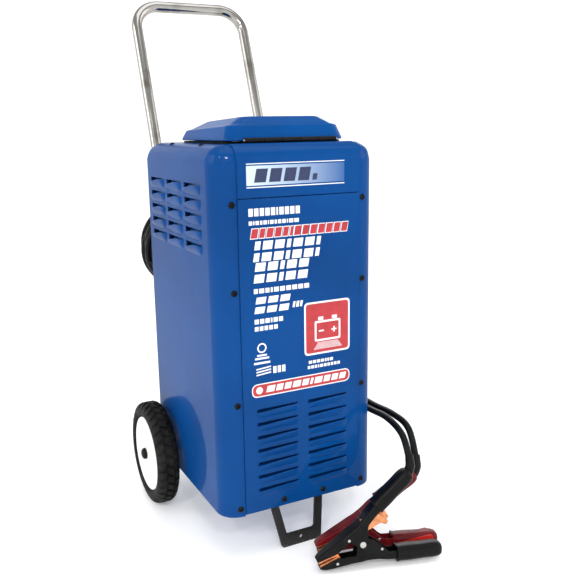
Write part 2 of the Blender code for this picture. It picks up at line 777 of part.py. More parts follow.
def transformer():
    floor = CABINET_BOTTOM + 0.0033
    low = (-0.095, CORE_Y - 0.030, floor)
    high = (0.095, CORE_Y + 0.030, floor + 0.165)
    core = box("transformer_core", low, high, "steel")

    def windows(bm):
        add_box(bm, (-0.055, CORE_Y - 0.05, floor + 0.040), (0.055, CORE_Y + 0.05, floor + 0.125))

    boolean(core, cutter_of("core_window", windows))
    for name, x in (("primary_winding", -0.075), ("secondary_winding", 0.075)):
        low = (x - 0.042, CORE_Y - 0.052, floor + 0.046)
        high = (x + 0.042, CORE_Y + 0.052, floor + 0.119)
        coil = box(name, low, high, "varnish", bevel=0.010)

        def limb(bm, x=x):
            low = (x - 0.0206, CORE_Y - 0.0306, floor)
            add_box(bm, low, (x + 0.0206, CORE_Y + 0.0306, floor + 0.165))

        boolean(coil, cutter_of(name + "_limb", limb))


def heatsink():
    back = INSIDE_BACK - 2 * GAP - SHEET
    base = back - 0.008
    tip = base - 0.032
    half = 0.090
    fin = 0.003
    outline = [(-half, back)]
    fins = 12
    pitch = 2 * half / fins
    for i in range(fins):
        left = -half + i * pitch
        outline += [(left, tip), (left + fin, tip), (left + fin, base), (left + pitch, base)]
    outline[-1] = (half - fin, base)
    outline += [(half - fin, tip), (half, tip), (half, back)]
    prism("rectifier_heatsink", outline, "Z", 0.440, 0.600, "aluminium")


FAN_Y = FRONT_Y + 0.022
FAN_Z = 0.200


def fan():
    """The motor sits on a post; the fan turns just behind the front louvres."""
    bm = bmesh.new()
    add_round(bm, (0, FAN_Y + 0.014, FAN_Z), (0, FAN_Y + 0.046, FAN_Z), 0.026)
    motor = place("fan_motor", mesh_from(bm, "fan_motor"), "steel")

    def shaft(bm):
        add_round(bm, (0, FAN_Y - 0.006, FAN_Z), (0, FAN_Y + 0.020, FAN_Z), 0.0025)

    def post(bm):
        add_box(bm, (-0.012, FAN_Y + 0.020, CABINET_BOTTOM + 0.0033), (0.012, FAN_Y + 0.028, FAN_Z - 0.010))

    boolean(motor, cutter_of("motor_shaft", shaft), "UNION")
    boolean(motor, cutter_of("motor_post", post), "UNION")
    bm = bmesh.new()
    add_round(bm, (0, -0.006, 0), (0, 0.006, 0), 0.012)
    blade = place("fan_blade", mesh_from(bm, "fan_blade"), "black")
    blade.location = (0, FAN_Y, FAN_Z)

    for i in range(5):
        turn = Matrix.Rotation(math.tau * i / 5, 4, "Y") @ Matrix.Translation((0.036, 0, 0))
        matrix = turn @ Matrix.Rotation(0.42, 4, "X") @ Matrix.Diagonal((0.058, 0.0016, 0.020, 1.0))

        def vane(bm, matrix=matrix):
            bmesh.ops.create_cube(bm, size=1.0, matrix=matrix)

        cutter = cutter_of(f"fan_vane_{i}", vane)
        cutter.parent = blade
        boolean(blade, cutter, "UNION")

    def bore(bm):
        add_round(bm, (0, -0.02, 0), (0, 0.02, 0), 0.0029)

    hole = cutter_of("fan_bore", bore)
    hole.parent = blade
    boolean(blade, hole)


# ---------------------------------------------------------------- leads, coils and clamps

GLAND_PLACES = {"positive": (0.030, 0.405), "negative": (0.062, 0.405)}
INLET_PLACE = (0.085, 0.140)
GLAND_REACH = 0.022


def gland(name, x, z):
    """A cable gland through the back panel, with the lead's hole right through it."""
    hole = LEAD_DIAMETER / 2 + GAP
    profile = [
        (hole, GLAND_REACH),
        (0.0085, GLAND_REACH),
        (0.0115, 0.012),
        (0.0140, 0.008),
        (0.0140, GAP),
        (0.0088, GAP),
        (0.0088, -0.012),
        (hole, -0.012),
    ]
    turned(name, profile, (x, BACK_Y, z), (0, 1, 0), "black", 16)


def cable_hanger():
    y_end = NEGATIVE_COIL_Y + 0.020
    peg = COIL_CENTRE.z + COIL_RADIUS - LEAD_DIAMETER - 0.0065
    x = COIL_CENTRE.x
    bend = 0.012
    points = [(x, BACK_Y + GAP, peg), (x, y_end - bend, peg)]
    for degrees in (30, 60, 90):
        angle = math.radians(degrees)
        points.append((x, y_end - bend + bend * math.sin(angle), peg + bend - bend * math.cos(angle)))
    points.append((x, y_end, peg + 0.030))
    tube("cable_hanger", points, 0.0045, "black", 3)


def coil(name, y):
    """The outer shape of three and a half turns, two deep and two wide."""
    half = LEAD_DIAMETER
    centre = (COIL_CENTRE.x, y, COIL_CENTRE.z)
    inner, outer = COIL_RADIUS - half, COIL_RADIUS + half
    profile = [
        (inner, half - 0.003),
        (inner + 0.003, half),
        (outer - 0.003, half),
        (outer, half - 0.003),
        (outer, -half + 0.003),
        (outer - 0.003, -half),
        (inner + 0.003, -half),
        (inner, -half + 0.003),
    ]
    turned(name, profile, centre, (0, 1, 0), "black", 28)


# Local clamp frame: +X points to the jaw tips, +Z to the half that holds the lead
CLAMP_ARM = 0.217
CLAMP_PIVOT = 0.082
# Each clamp's jaw tips, heading and sideways tilt, and the angle between its handles
CLAMPS = {
    "negative": ((-0.020, -0.3335, 0.0155), -0.288, 0.154, 0.72),
    "positive": ((0.002, -0.2885, 0.0155), -0.362, 0.128, 0.62),
}


def clamp_frame(kind):
    """The matrix from a clamp's own frame to the world; its origin is on the pivot pin."""
    tip, heading, tilt, spread = CLAMPS[kind]
    along = Vector((math.cos(heading), math.sin(heading), 0.0))
    across = Vector((-along.y, along.x, 0.0))
    up = math.cos(tilt) * Vector((0, 0, 1)) + math.sin(tilt) * across
    half = spread / 2
    back = math.cos(half) * along + math.sin(half) * up
    lift = -math.sin(half) * along + math.cos(half) * up
    jaw = -back
    width = lift.cross(jaw)
    frame = Matrix((jaw, width, lift)).transposed().to_4x4()
    frame.translation = Vector(tip) + back * CLAMP_PIVOT
    return frame


def arm_line(kind):
    """Where an arm ends in the clamp's frame, and how steeply it leaves the middle line."""
    half = CLAMPS[kind][3] / 2
    return CLAMP_PIVOT - CLAMP_ARM * math.cos(half), math.tan(half)


def clamp_half(kind, upper, colour):
    """A channel-section arm: a web along the outside and two cheeks that reach the pivot pin."""
    name = f"{kind}_clamp_upper" if upper else f"{kind}_clamp_lower"
    frame = clamp_frame(kind)
    end_x, slope = arm_line(kind)
    tip_x = CLAMP_PIVOT
    sheet = 0.0020
    width = 0.0150 if upper else 0.0122
    jaw_back = 0.016
    flip = 1 if upper else -1

    def outer(x):
        return 0.0045 + slope * (tip_x - x)

    def outside(x, inset=0.0):
        return (x, outer(x) - inset)

    web = [(tip_x, 0.0012), outside(tip_x, -0.004), outside(tip_x - jaw_back, -0.004)]
    web += [outside(0.030), outside(0.0, 0.004), outside(-0.035), outside(end_x)]
    cheek = [outside(end_x, 0.016), outside(-0.035, 0.020), (-0.012, -0.007), (0.012, -0.007)]
    cheek += [(0.030, 0.010), (tip_x - 0.024, 0.0012)]
    inner = [(tip_x - 0.004, -0.03), outside(tip_x - 0.004, -0.0015)]
    inner += [outside(tip_x - jaw_back, -0.0015), outside(0.030, sheet), outside(0.0, 0.004 + sheet)]
    inner += [outside(-0.035, sheet), outside(end_x + 0.004, sheet), (end_x + 0.004, -0.03)]
    outline = [(x, z * flip) for x, z in web + cheek]
    inner = [(x, z * flip) for x, z in inner]
    obj = prism(name, outline, "Y", -width, width, colour)
    obj.matrix_world = frame
    hollow = prism(name + "_hollow", inner, "Y", -width + sheet, width - sheet)
    hollow = as_cutter(hollow, name + "_hollow")
    hollow.parent = obj
    boolean(obj, hollow)
    bm = bmesh.new()
    add_round(bm, (0, -0.03, 0), (0, 0.03, 0), 0.0034)
    hole = as_cutter(mesh_from(bm, name + "_hole"), name + "_hole")
    hole.parent = obj
    boolean(obj, hole)


def round_on_pivot(name, frame, half_length, radius, colour, hole=0.0):
    """A pin on the clamp's pivot, or a sleeve if it has a hole."""
    bm = bmesh.new()
    add_round(bm, (0, -half_length, 0), (0, half_length, 0), radius)
    obj = place(name, mesh_from(bm, name), colour)
    obj.matrix_world = frame
    if hole:
        bm = bmesh.new()
        reach = 1.5 * half_length
        add_round(bm, (0, -reach, 0), (0, reach, 0), hole)
        bore = as_cutter(mesh_from(bm, name + "_bore"), name + "_bore")
        bore.parent = obj
        boolean(obj, bore)


def clamp(kind, colour):
    frame = clamp_frame(kind)
    clamp_half(kind, True, colour)
    clamp_half(kind, False, colour)
    round_on_pivot(f"{kind}_clamp_pin", frame, 0.0165, 0.0030, "steel")
    round_on_pivot(f"{kind}_clamp_spring", frame, 0.0095, 0.0062, "steel", 0.0036)
    front = CLAMP_PIVOT - 0.006
    back = CLAMP_PIVOT - 0.030
    outline = [(front, 0.0005), (front, 0.0055), (back, 0.0100), (back, 0.0080), (back + 0.010, 0.0005)]
    jaw = prism(f"{kind}_jaw", outline, "Y", -0.0085, 0.0085, "copper")
    jaw.matrix_world = frame


BOOT_WAYS = {"negative": Vector((0.30, 0.56, 0.77)), "positive": Vector((0.30, 0.46, 0.84))}
BOOT_LENGTH = 0.014


def boot_start(kind):
    """The middle of the rubber boot's foot, just above the end of the clamp's upper half."""
    end_x, slope = arm_line(kind)
    centre = 0.0045 + slope * (CLAMP_PIVOT - end_x) - 0.0085
    half = math.atan(slope)
    way = Vector((-math.cos(half), 0.0, math.sin(half)))
    return clamp_frame(kind) @ (Vector((end_x, 0.0, centre)) + way * 0.0060) + Vector((0, 0, 0.0085))


def boots_and_leads():
    """Each boot grips its lead where it enters the clamp's upper half."""
    for kind, route in LEAD_ROUTES.items():
        start = boot_start(kind)
        way = BOOT_WAYS[kind].normalized()
        top = start + way * BOOT_LENGTH
        tube(f"{kind}_boot", [start, top], 0.0085, "rubber")
        end = top + way * 2 * GAP
        points = smooth_route([*route, end + way * 0.008], 2.5 * LEAD_DIAMETER)
        tube(f"{kind}_lead", [*points, end], LEAD_DIAMETER / 2, "rubber", 2)
        x, z = GLAND_PLACES[kind]
        y = POSITIVE_COIL_Y if kind == "positive" else NEGATIVE_COIL_Y
        floor = COIL_CENTRE.z - COIL_RADIUS - LEAD_DIAMETER - LEAD_DIAMETER / 2 - GAP
        feed = [
            (x, BACK_Y + GLAND_REACH + GAP, z),
            (x, BACK_Y + GLAND_REACH + 0.010, z),
            (x - 0.010, y - 0.004, z + 0.002),
            (x - 0.045, y, floor - 0.001),
            (COIL_CENTRE.x + 0.010, y, floor),
        ]
        tube(f"{kind}_lead_feed", smooth_route(feed, 2 * LEAD_DIAMETER), LEAD_DIAMETER / 2, "rubber", 2)


# Each route starts where the lead leaves the top of its coil and ends above its clamp
COIL_TOP = COIL_CENTRE.z + COIL_RADIUS + LEAD_DIAMETER + LEAD_DIAMETER / 2 + GAP
LEAD_ROUTES = {
    "positive": [
        (COIL_CENTRE.x + 0.004, POSITIVE_COIL_Y, COIL_TOP + 0.0004),
        (COIL_CENTRE.x + 0.060, POSITIVE_COIL_Y, COIL_TOP - 0.002),
        (0.060, POSITIVE_COIL_Y + 0.001, 0.548),
        (0.135, 0.148, 0.470),
        (0.184, 0.114, 0.385),
        (0.199, 0.040, 0.290),
        (0.199, -0.040, 0.234),
        (0.195, -0.110, 0.211),
        (0.190, -0.180, 0.2105),
        (0.188, -0.253, 0.215),
        (0.185, -0.305, 0.206),
    ],
    "negative": [
        (COIL_CENTRE.x + 0.004, NEGATIVE_COIL_Y, COIL_TOP + 0.0004),
        (COIL_CENTRE.x + 0.060, NEGATIVE_COIL_Y, COIL_TOP - 0.002),
        (0.060, NEGATIVE_COIL_Y + 0.001, 0.545),
        (0.140, 0.168, 0.455),
        (0.198, 0.120, 0.362),
        (0.188, 0.040, 0.270),
        (0.181, -0.040, 0.218),
        (0.177, -0.110, 0.201),
        (0.172, -0.206, 0.2105),
        (0.165, -0.268, 0.217),
        (0.158, -0.323, 0.207),
    ],
}


def build():
    cabinet_shell()
    front_panel()
    header_panel()
    back_panel()
    base_plate()
    control_panel()
    ammeter()
    knob("timer_knob", TIMER, 0.0200, 0.0165)
    knob("voltage_knob", VOLTAGE, 0.0150, 0.0150)
    knob("rate_knob", RATE, 0.0150, 0.0150)
    rocker_and_breaker()
    control_hood()
    hood_gasket()
    hood_hinge()
    for side in (-1, 1):
        wheel(side)
    axle()
    foot_strap()
    handle_tube()
    handle_straps()
    transformer()
    heatsink()
    fan()
    for kind, (x, z) in GLAND_PLACES.items():
        gland(f"{kind}_gland", x, z)
    gland("power_inlet", *INLET_PLACE)
    cable_hanger()
    coil("positive_lead_coil", POSITIVE_COIL_Y)
    coil("negative_lead_coil", NEGATIVE_COIL_Y)
    clamp("positive", "red")
    clamp("negative", "black")
    boots_and_leads()


build()
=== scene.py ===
"""A wheeled car battery charger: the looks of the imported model. Metres, +Z up, -Y is the front."""

import math

import bmesh
import bpy
from mathutils import Matrix, Vector


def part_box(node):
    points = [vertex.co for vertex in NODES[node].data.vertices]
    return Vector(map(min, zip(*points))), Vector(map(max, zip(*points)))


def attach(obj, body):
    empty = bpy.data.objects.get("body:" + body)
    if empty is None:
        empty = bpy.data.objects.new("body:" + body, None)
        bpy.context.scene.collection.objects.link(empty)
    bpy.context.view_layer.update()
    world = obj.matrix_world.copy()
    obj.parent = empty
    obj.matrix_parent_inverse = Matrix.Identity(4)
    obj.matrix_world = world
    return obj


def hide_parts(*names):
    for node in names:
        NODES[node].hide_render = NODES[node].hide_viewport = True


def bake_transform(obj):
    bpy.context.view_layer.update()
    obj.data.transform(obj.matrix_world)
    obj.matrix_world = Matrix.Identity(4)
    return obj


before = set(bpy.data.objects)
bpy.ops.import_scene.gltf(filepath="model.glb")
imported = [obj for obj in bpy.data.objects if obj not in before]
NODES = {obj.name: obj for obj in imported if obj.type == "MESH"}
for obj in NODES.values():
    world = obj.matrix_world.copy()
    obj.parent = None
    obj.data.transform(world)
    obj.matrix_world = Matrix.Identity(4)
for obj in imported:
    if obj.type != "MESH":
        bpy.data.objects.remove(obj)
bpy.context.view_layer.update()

SHELL_LOW, SHELL_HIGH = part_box("cabinet_shell")
HALF = SHELL_HIGH.x
FRONT = SHELL_LOW.y
BACK = SHELL_HIGH.y
BOTTOM = SHELL_LOW.z
TOP = SHELL_HIGH.z
SHEET = 0.0016
CORNER = 0.036
TOP_RADIUS = 0.030
PANEL_HALF = 0.1118
PANEL_TOP = 0.629
FACE = FRONT - 0.0025


# ---------------------------------------------------------------- making shapes


def loft(bm, rings, wrap=False, caps=(True, True)):
    """Faces between closed rings of points, one after another, with a cap at the first and the last."""
    made = [[bm.verts.new(point) for point in ring] for ring in rings]
    pairs = list(zip(made, made[1:]))
    if wrap:
        pairs.append((made[-1], made[0]))
    for first, second in pairs:
        for i in range(len(first)):
            j = (i + 1) % len(first)
            bm.faces.new((first[i], first[j], second[j], second[i]))
    for ring, capped in zip((made[0], made[-1]), caps):
        if capped and not wrap:
            bm.faces.new(ring)


def grid_faces(bm, rows):
    """Faces over rows of vertices, one row after another."""
    for near, far in zip(rows, rows[1:]):
        for i in range(len(near) - 1):
            bm.faces.new((near[i], near[i + 1], far[i + 1], far[i]))


def rim_of(rows):
    """The vertices round the edge of a grid."""
    right = [row[-1] for row in rows[1:]]
    left = [row[0] for row in rows[1:-1]]
    return [*rows[0], *right, *rows[-1][-2::-1], *left[::-1]]


def join_rims(bm, first, second):
    """Faces from the edge of one grid to the edge of another."""
    ring, other = rim_of(first), rim_of(second)
    for i in range(len(ring)):
        bm.faces.new((ring[i - 1], other[i - 1], other[i], ring[i]))


def fillet(points, radius, closed=True, steps=4):
    """The same outline with each corner rounded."""
    made = []
    count = len(points)
    corners = [Vector(p) for p in points]
    for i, corner in enumerate(corners):
        if not closed and i in (0, count - 1):
            made.append(corner)
            continue
        before = corners[i - 1] - corner
        after = corners[(i + 1) % count] - corner
        reach = min(radius, before.length * 0.48, after.length * 0.48)
        start = corner + before.normalized() * reach
        end = corner + after.normalized() * reach
        for k in range(steps + 1):
            t = k / steps
            made.append((1 - t) ** 2 * start + 2 * t * (1 - t) * corner + t**2 * end)
    return made


def rounded_box(x0, y0, x1, y1, radius, steps=4):
    return fillet([(x0, y0), (x1, y0), (x1, y1), (x0, y1)], radius, steps=steps)


UPRIGHT = Matrix(((1, 0, 0), (0, 0, 1), (0, 1, 0))).to_4x4()


def facing(way, at=(0, 0, 0)):
    """A frame at a point whose Z axis is the way."""
    return Matrix.Translation(at) @ Vector(way).to_track_quat("Z", "Y").to_matrix().to_4x4()


def lathe(bm, profile, matrix, steps=48, closed=False):
    """A profile of (radius, height) turned about the frame's Z axis."""
    rings = []
    for radius, height in profile:
        rings.append([matrix @ Vector((x, y, height)) for x, y in circle(radius, steps)])
    loft(bm, rings, wrap=closed)


def extrude(bm, outline, matrix, low, high):
    """An outline in the frame's XY plane made solid from low to high along its Z."""
    loft(bm, [[matrix @ Vector((p[0], p[1], z)) for p in outline] for z in (low, high)])


def block(bm, low, high, matrix=Matrix.Identity(4)):
    outline = [(low[0], low[1]), (high[0], low[1]), (high[0], high[1]), (low[0], high[1])]
    extrude(bm, outline, matrix, low[2], high[2])


def sweep(bm, path, section):
    """Rings along a path; section(i) gives a ring's points across it."""
    points = [Vector(p) for p in path]
    ways = []
    for i in range(len(points)):
        ways.append((points[min(i + 1, len(points) - 1)] - points[max(i - 1, 0)]).normalized())
    side = ways[0].orthogonal().normalized()
    rings = []
    for i, (point, way) in enumerate(zip(points, ways)):
        side = (side - way * side.dot(way)).normalized()
        up = way.cross(side)
        rings.append([point + side * u + up * v for u, v in section(i)])
    loft(bm, rings)


def circle(radius, steps=16):
    angles = [math.tau * i / steps for i in range(steps)]
    return [(radius * math.cos(angle), radius * math.sin(angle)) for angle in angles]


def arc(centre, radius, start, end, steps):
    """Points round a centre, from one angle to another."""
    angles = [start + (end - start) * i / steps for i in range(steps + 1)]
    return [(centre[0] + radius * math.cos(angle), centre[1] + radius * math.sin(angle)) for angle in angles]


def pipe(bm, path, radius, steps=16):
    sweep(bm, path, lambda i: circle(radius, steps))


def smooth_line(points, spacing):
    """Points a set distance apart on a smooth curve through these."""
    route = [Vector(p) for p in points]
    ends = [2 * route[0] - route[1], *route, 2 * route[-1] - route[-2]]
    fine = []
    for a, b, c, d in zip(ends, ends[1:], ends[2:], ends[3:]):
        for i in range(24):
            t = i / 24
            square = (2 * a - 5 * b + 4 * c - d) * t**2
            cube = (3 * b - a - 3 * c + d) * t**3
            fine.append(0.5 * (2 * b + (c - a) * t + square + cube))
    fine.append(route[-1])
    lengths = [0.0]
    for p, q in zip(fine, fine[1:]):
        lengths.append(lengths[-1] + (q - p).length)
    count = max(2, round(lengths[-1] / spacing))
    made = []
    at = 0
    for i in range(count + 1):
        wanted = lengths[-1] * i / count
        while at < len(lengths) - 2 and lengths[at + 1] < wanted:
            at += 1
        span = max(lengths[at + 1] - lengths[at], 1e-9)
        made.append(fine[at].lerp(fine[at + 1], min(1.0, (wanted - lengths[at]) / span)))
    return made


def data_of(name, bm):
    bmesh.ops.recalc_face_normals(bm, faces=bm.faces)
    data = bpy.data.meshes.new(name)
    bm.to_mesh(data)
    bm.free()
    return data


def add_object(name, data, material=None):
    obj = bpy.data.objects.new(name, data)
    bpy.context.scene.collection.objects.link(obj)
    if material:
        data.materials.append(material)
    return obj


def piece(name, bm, material, body="root", replaces=(), edge=0.0, crease=35):
    """A mesh piece on a body, with rounded edges and clean shading."""
    obj = add_object(name, data_of(name, bm), material)
    finish_edges(obj, edge, crease)
    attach(obj, body)
    if replaces:
        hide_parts(*replaces)
    return obj


def keep_normals(obj):
    normals = obj.modifiers.new("normals", "WEIGHTED_NORMAL")
    normals.keep_sharp = True


def thicken(obj, thickness):
    """Gives an open shell its sheet metal, on the inside."""
    wall = obj.modifiers.new("sheet", "SOLIDIFY")
    wall.thickness = thickness
    wall.offset = -1.0
    return wall


def finish_edges(obj, edge, crease=35):
    obj.data.shade_smooth()
    if edge:
        bevel = obj.modifiers.new("edges", "BEVEL")
        bevel.width = edge
        bevel.segments = 2
        bevel.limit_method = "ANGLE"
        bevel.angle_limit = math.radians(crease)
    else:
        obj.data.set_sharp_from_angle(angle=math.radians(crease))
    keep_normals(obj)


def dress(node, material, edge=0.0004):
    """A CAD node kept as it is, with its own material and softened edges."""
    obj = NODES[node]
    obj.data.materials.clear()
    obj.data.materials.append(material)
    if "custom_normal" in obj.data.attributes:
        obj.data.attributes.remove(obj.data.attributes["custom_normal"])
    weld = obj.modifiers.new("weld", "WELD")
    weld.merge_threshold = 0.00001
    finish_edges(obj, edge, 32)


def cutter(name, build):
    bm = bmesh.new()
    build(bm)
    obj = add_object(name, data_of(name, bm))
    obj.hide_render = True
    obj.hide_viewport = True
    return obj


def subtract(obj, other):
    step = obj.modifiers.new(other.name, "BOOLEAN")
    step.object = other


def cut(obj, other):
    """Subtracts the cutter before the piece's edges are finished."""
    subtract(obj, other)
    obj.modifiers.move(len(obj.modifiers) - 1, 0)


# ---------------------------------------------------------------- materials


EVEN = (1, 1, 1)


class Nodes:
    """A material's node tree, with short ways to add to it."""

    def __init__(self, name):
        self.material = bpy.data.materials.new(name)
        self.material.use_nodes = True
        self.tree = self.material.node_tree
        self.shader = self.tree.nodes["Principled BSDF"]
        self.place = self.tree.nodes.new("ShaderNodeTexCoord").outputs["Object"]

    def add(self, kind, **inputs):
        node = self.tree.nodes.new("ShaderNode" + kind)
        for key, value in inputs.items():
            socket = node.inputs[key.replace("_", " ")]
            if isinstance(value, bpy.types.NodeSocket):
                self.tree.links.new(value, socket)
            else:
                socket.default_value = value
        return node

    def noise(self, scale, detail=4.0, stretch=EVEN, offset=0.0):
        moved = self.add("Mapping", Vector=self.place, Scale=stretch, Location=(offset, offset, offset))
        return self.add("TexNoise", Vector=moved.outputs["Vector"], Scale=scale, Detail=detail).outputs["Fac"]

    def remap(self, value, low, high, to_low=0.0, to_high=1.0):
        made = self.add("MapRange", Value=value, From_Min=low, From_Max=high, To_Min=to_low, To_Max=to_high)
        return made.outputs["Result"]

    def mix(self, factor, first, second):
        node = self.tree.nodes.new("ShaderNodeMix")
        node.data_type = "RGBA"
        for index, value in ((0, factor), (6, first), (7, second)):
            if isinstance(value, bpy.types.NodeSocket):
                self.tree.links.new(value, node.inputs[index])
            elif index:
                node.inputs[index].default_value = (*value, 1.0)
            else:
                node.inputs[index].default_value = value
        return node.outputs[2]

    def bump(self, height, depth):
        node = self.add("Bump", Strength=1.0, Distance=depth, Height=height)
        return node.outputs["Normal"]

    def join(self, value, socket):
        self.tree.links.new(value, self.shader.inputs[socket])

    def fix(self, **fixed):
        """Sets sockets that are the same all over the surface."""
        for socket, value in fixed.items():
            self.shader.inputs[socket.replace("_", " ")].default_value = value


def material(
    name, light, dark, rough, metal=0.0, patch=9.0, grain=600.0, depth=0.0, spread=0.06, stretch=EVEN, **fixed
):
    """A surface whose colour, roughness and height all vary a little, as a real finish does."""
    made = Nodes(name)
    blotch = made.remap(made.noise(patch, 5.0, stretch), 0.36, 0.64)
    made.join(made.mix(blotch, dark, light), "Base Color")
    sheen = made.noise(grain * 0.13, 4.0, stretch, 1.7)
    made.join(made.remap(sheen, 0.3, 0.7, rough - spread, rough + spread), "Roughness")
    if depth:
        made.join(made.bump(made.noise(grain, 3.0, stretch, 3.1), depth), "Normal")
    made.fix(Metallic=metal, **fixed)
    return made.material


PAINT = {
    "rough": 0.34,
    "grain": 330.0,
    "depth": 0.000003,
    "spread": 0.02,
    "Specular_IOR_Level": 0.02,
    "Coat_Weight": 0.24,
    "Coat_Roughness": 0.04,
    "Coat_IOR": 1.36,
}
BLUE = material("blue_paint", (0.002, 0.058, 0.232), (0.002, 0.045, 0.184), patch=5.0, **PAINT)
HOOD_BLUE = material("hood_paint", (0.002, 0.068, 0.260), (0.002, 0.054, 0.214), patch=7.0, **PAINT)
DULL = {"Specular_IOR_Level": 0.15}
MOULDED = {"patch": 40.0, "grain": 800.0, "depth": 0.00004}
PRINTED = {"patch": 60.0, "Coat_Weight": 0.3}
BLACK_PAINT = material(
    "black_paint", (0.006, 0.006, 0.0065), (0.003, 0.003, 0.0035), 0.42, grain=900.0, depth=0.00003, **DULL
)
BLACK_PLASTIC = material(
    "black_plastic", (0.008, 0.008, 0.0085), (0.004, 0.004, 0.0045), 0.48, grain=1500.0, depth=0.00003, **DULL
)
STEEL = material(
    "steel", (0.58, 0.58, 0.57), (0.42, 0.42, 0.42), 0.32, 1.0, patch=40.0, grain=900.0, depth=0.00001
)
ZINC = material(
    "zinc", (0.62, 0.62, 0.60), (0.50, 0.49, 0.46), 0.36, 1.0, patch=60.0, grain=500.0, depth=0.00002
)
COPPER = material(
    "copper", (0.82, 0.36, 0.17), (0.52, 0.20, 0.09), 0.30, 1.0, patch=90.0, grain=900.0, depth=0.00002
)
ALUMINIUM = material(
    "aluminium", (0.66, 0.67, 0.68), (0.54, 0.55, 0.56), 0.38, 1.0, patch=30.0, stretch=(1, 1, 0.1)
)
RUBBER = {"patch": 30.0, "grain": 900.0, "depth": 0.00012}
SMOOTH_COAT = {"patch": 14.0, "grain": 260.0, "depth": 0.00003, "Coat_Weight": 0.4}
TYRE = material("tyre_rubber", (0.017, 0.016, 0.015), (0.005, 0.005, 0.005), 0.72, **RUBBER, **DULL)
RIM = material("white_rim", (0.86, 0.85, 0.81), (0.78, 0.77, 0.72), 0.34, **SMOOTH_COAT)
# Painted shade: the red clamp's vinyl is darkened to a maroon that stands in for shade on its arms and
# sleeves.
SHADED_RED_VINYL = material("shaded_red_vinyl", (0.160, 0.006, 0.009), (0.085, 0.004, 0.006), 0.36, **MOULDED, **DULL)
# Painted light: a lighter copy of the red vinyl, set on the lower grip's sides where light falls.
LIT_RED_VINYL = material("lit_red_vinyl", (0.62, 0.020, 0.012), (0.50, 0.014, 0.010), 0.40, **MOULDED)
BLACK_VINYL = material("black_vinyl", (0.004, 0.004, 0.004), (0.002, 0.002, 0.002), 0.34, **MOULDED, **DULL)
SHEATH = {"patch": 60.0, "grain": 1200.0, "depth": 0.00003}
CABLE = material("cable_rubber", (0.004, 0.004, 0.004), (0.002, 0.002, 0.002), 0.36, **SHEATH, **DULL)
RED_PLASTIC = material("red_plastic", (0.55, 0.020, 0.015), (0.42, 0.012, 0.010), 0.35, patch=60.0)
WHITE_INK = material("white_ink", (0.88, 0.89, 0.90), (0.80, 0.82, 0.84), 0.35, **PRINTED)
RED_INK = material("red_ink", (0.50, 0.012, 0.020), (0.40, 0.010, 0.016), 0.35, **PRINTED)
DARK_INK = material("dark_ink", (0.008, 0.020, 0.085), (0.006, 0.016, 0.070), 0.35, **PRINTED)


def chrome():
    """Bright plating with faint drawn streaks and a little tarnish."""
    made = Nodes("chrome")
    tarnish = made.remap(made.noise(26.0, 6.0), 0.52, 0.74)
    made.join(made.mix(tarnish, (0.40, 0.385, 0.36), (0.22, 0.20, 0.165)), "Base Color")
    streaks = made.noise(240.0, 3.0, (1, 0.05, 0.05))
    made.join(made.remap(streaks, 0.3, 0.7, 0.07, 0.17), "Roughness")
    made.join(made.bump(streaks, 0.000003), "Normal")
    made.fix(Metallic=1.0)
    return made.material


def banded(name, light, dark, rough, metal, axis, pitch, depth):
    """Fine layers across one axis, as on stacked laminations or wound wire."""
    made = Nodes(name)
    wave = made.add("TexWave", Vector=made.place, Scale=math.tau / pitch / 20, Distortion=0.4, Detail=2.0)
    wave.bands_direction = axis
    lines = wave.outputs["Fac"]
    blotch = made.remap(made.noise(18.0, 5.0), 0.35, 0.65)
    tone = made.mix(blotch, dark, light)
    groove = tuple(c * 0.3 for c in dark)
    made.join(made.mix(made.remap(lines, 0.0, 0.25, 0.75, 0.0), tone, groove), "Base Color")
    made.join(made.remap(made.noise(300.0), 0.3, 0.7, rough - 0.08, rough + 0.08), "Roughness")
    made.join(made.bump(lines, depth), "Normal")
    made.fix(Metallic=metal)
    return made.material


def header_fade():
    """A printed band that fades from near white at the left to the cabinet's blue at the right."""
    made = Nodes("header_fade")
    across = made.add("SeparateXYZ", Vector=made.place).outputs["X"]
    share = made.remap(across, -0.10, 0.085)
    made.join(made.mix(share, (0.62, 0.74, 0.86), (0.003, 0.085, 0.300)), "Base Color")
    made.join(made.remap(made.noise(500.0, 3.0), 0.3, 0.7, 0.28, 0.36), "Roughness")
    made.fix(Coat_Weight=0.35, Coat_Roughness=0.06)
    return made.material


CHROME = chrome()
LAMINATIONS = banded("laminations", (0.16, 0.15, 0.14), (0.09, 0.085, 0.08), 0.5, 0.7, "Y", 0.0007, 0.00008)
WINDING = banded("winding", (0.52, 0.20, 0.06), (0.34, 0.11, 0.03), 0.34, 0.55, "Z", 0.0026, 0.0006)
HEADER_FADE = header_fade()


# ---------------------------------------------------------------- camera, light and floor


CAMERA_AT = (-0.5757, -1.3272, 0.7392)
CAMERA_YAW = math.radians(27.02)
CAMERA_PITCH = math.radians(12.16)
CAMERA_ROLL = math.radians(0.90)
CAMERA_LENS = 46.77
FLOOR_RADIUS = 3.6
WALL_BEND = 1.6
WALL_TOP = 4.2
# Each light's place, the width and height of its face, its power and its shape
LIGHTS = {
    "key_left": ((-2.30, -2.50, 2.7), (0.34, 0.34), 28, "DISK"),
    "key_right": ((-0.95, -3.25, 2.7), (0.34, 0.34), 28, "DISK"),
    "left": ((-3.2, 0.7, 2.0), (1.6, 1.6), 22, "RECTANGLE"),
    "fill": ((2.9, -1.9, 1.9), (1.8, 2.4), 16, "RECTANGLE"),
    "top": ((0.2, -0.4, 3.4), (2.6, 2.6), 34, "RECTANGLE"),
    "rear": ((2.2, 2.9, 1.4), (1.6, 1.6), 14, "RECTANGLE"),
}
LIGHTS_AIM = Vector((0, 0, 0.4))


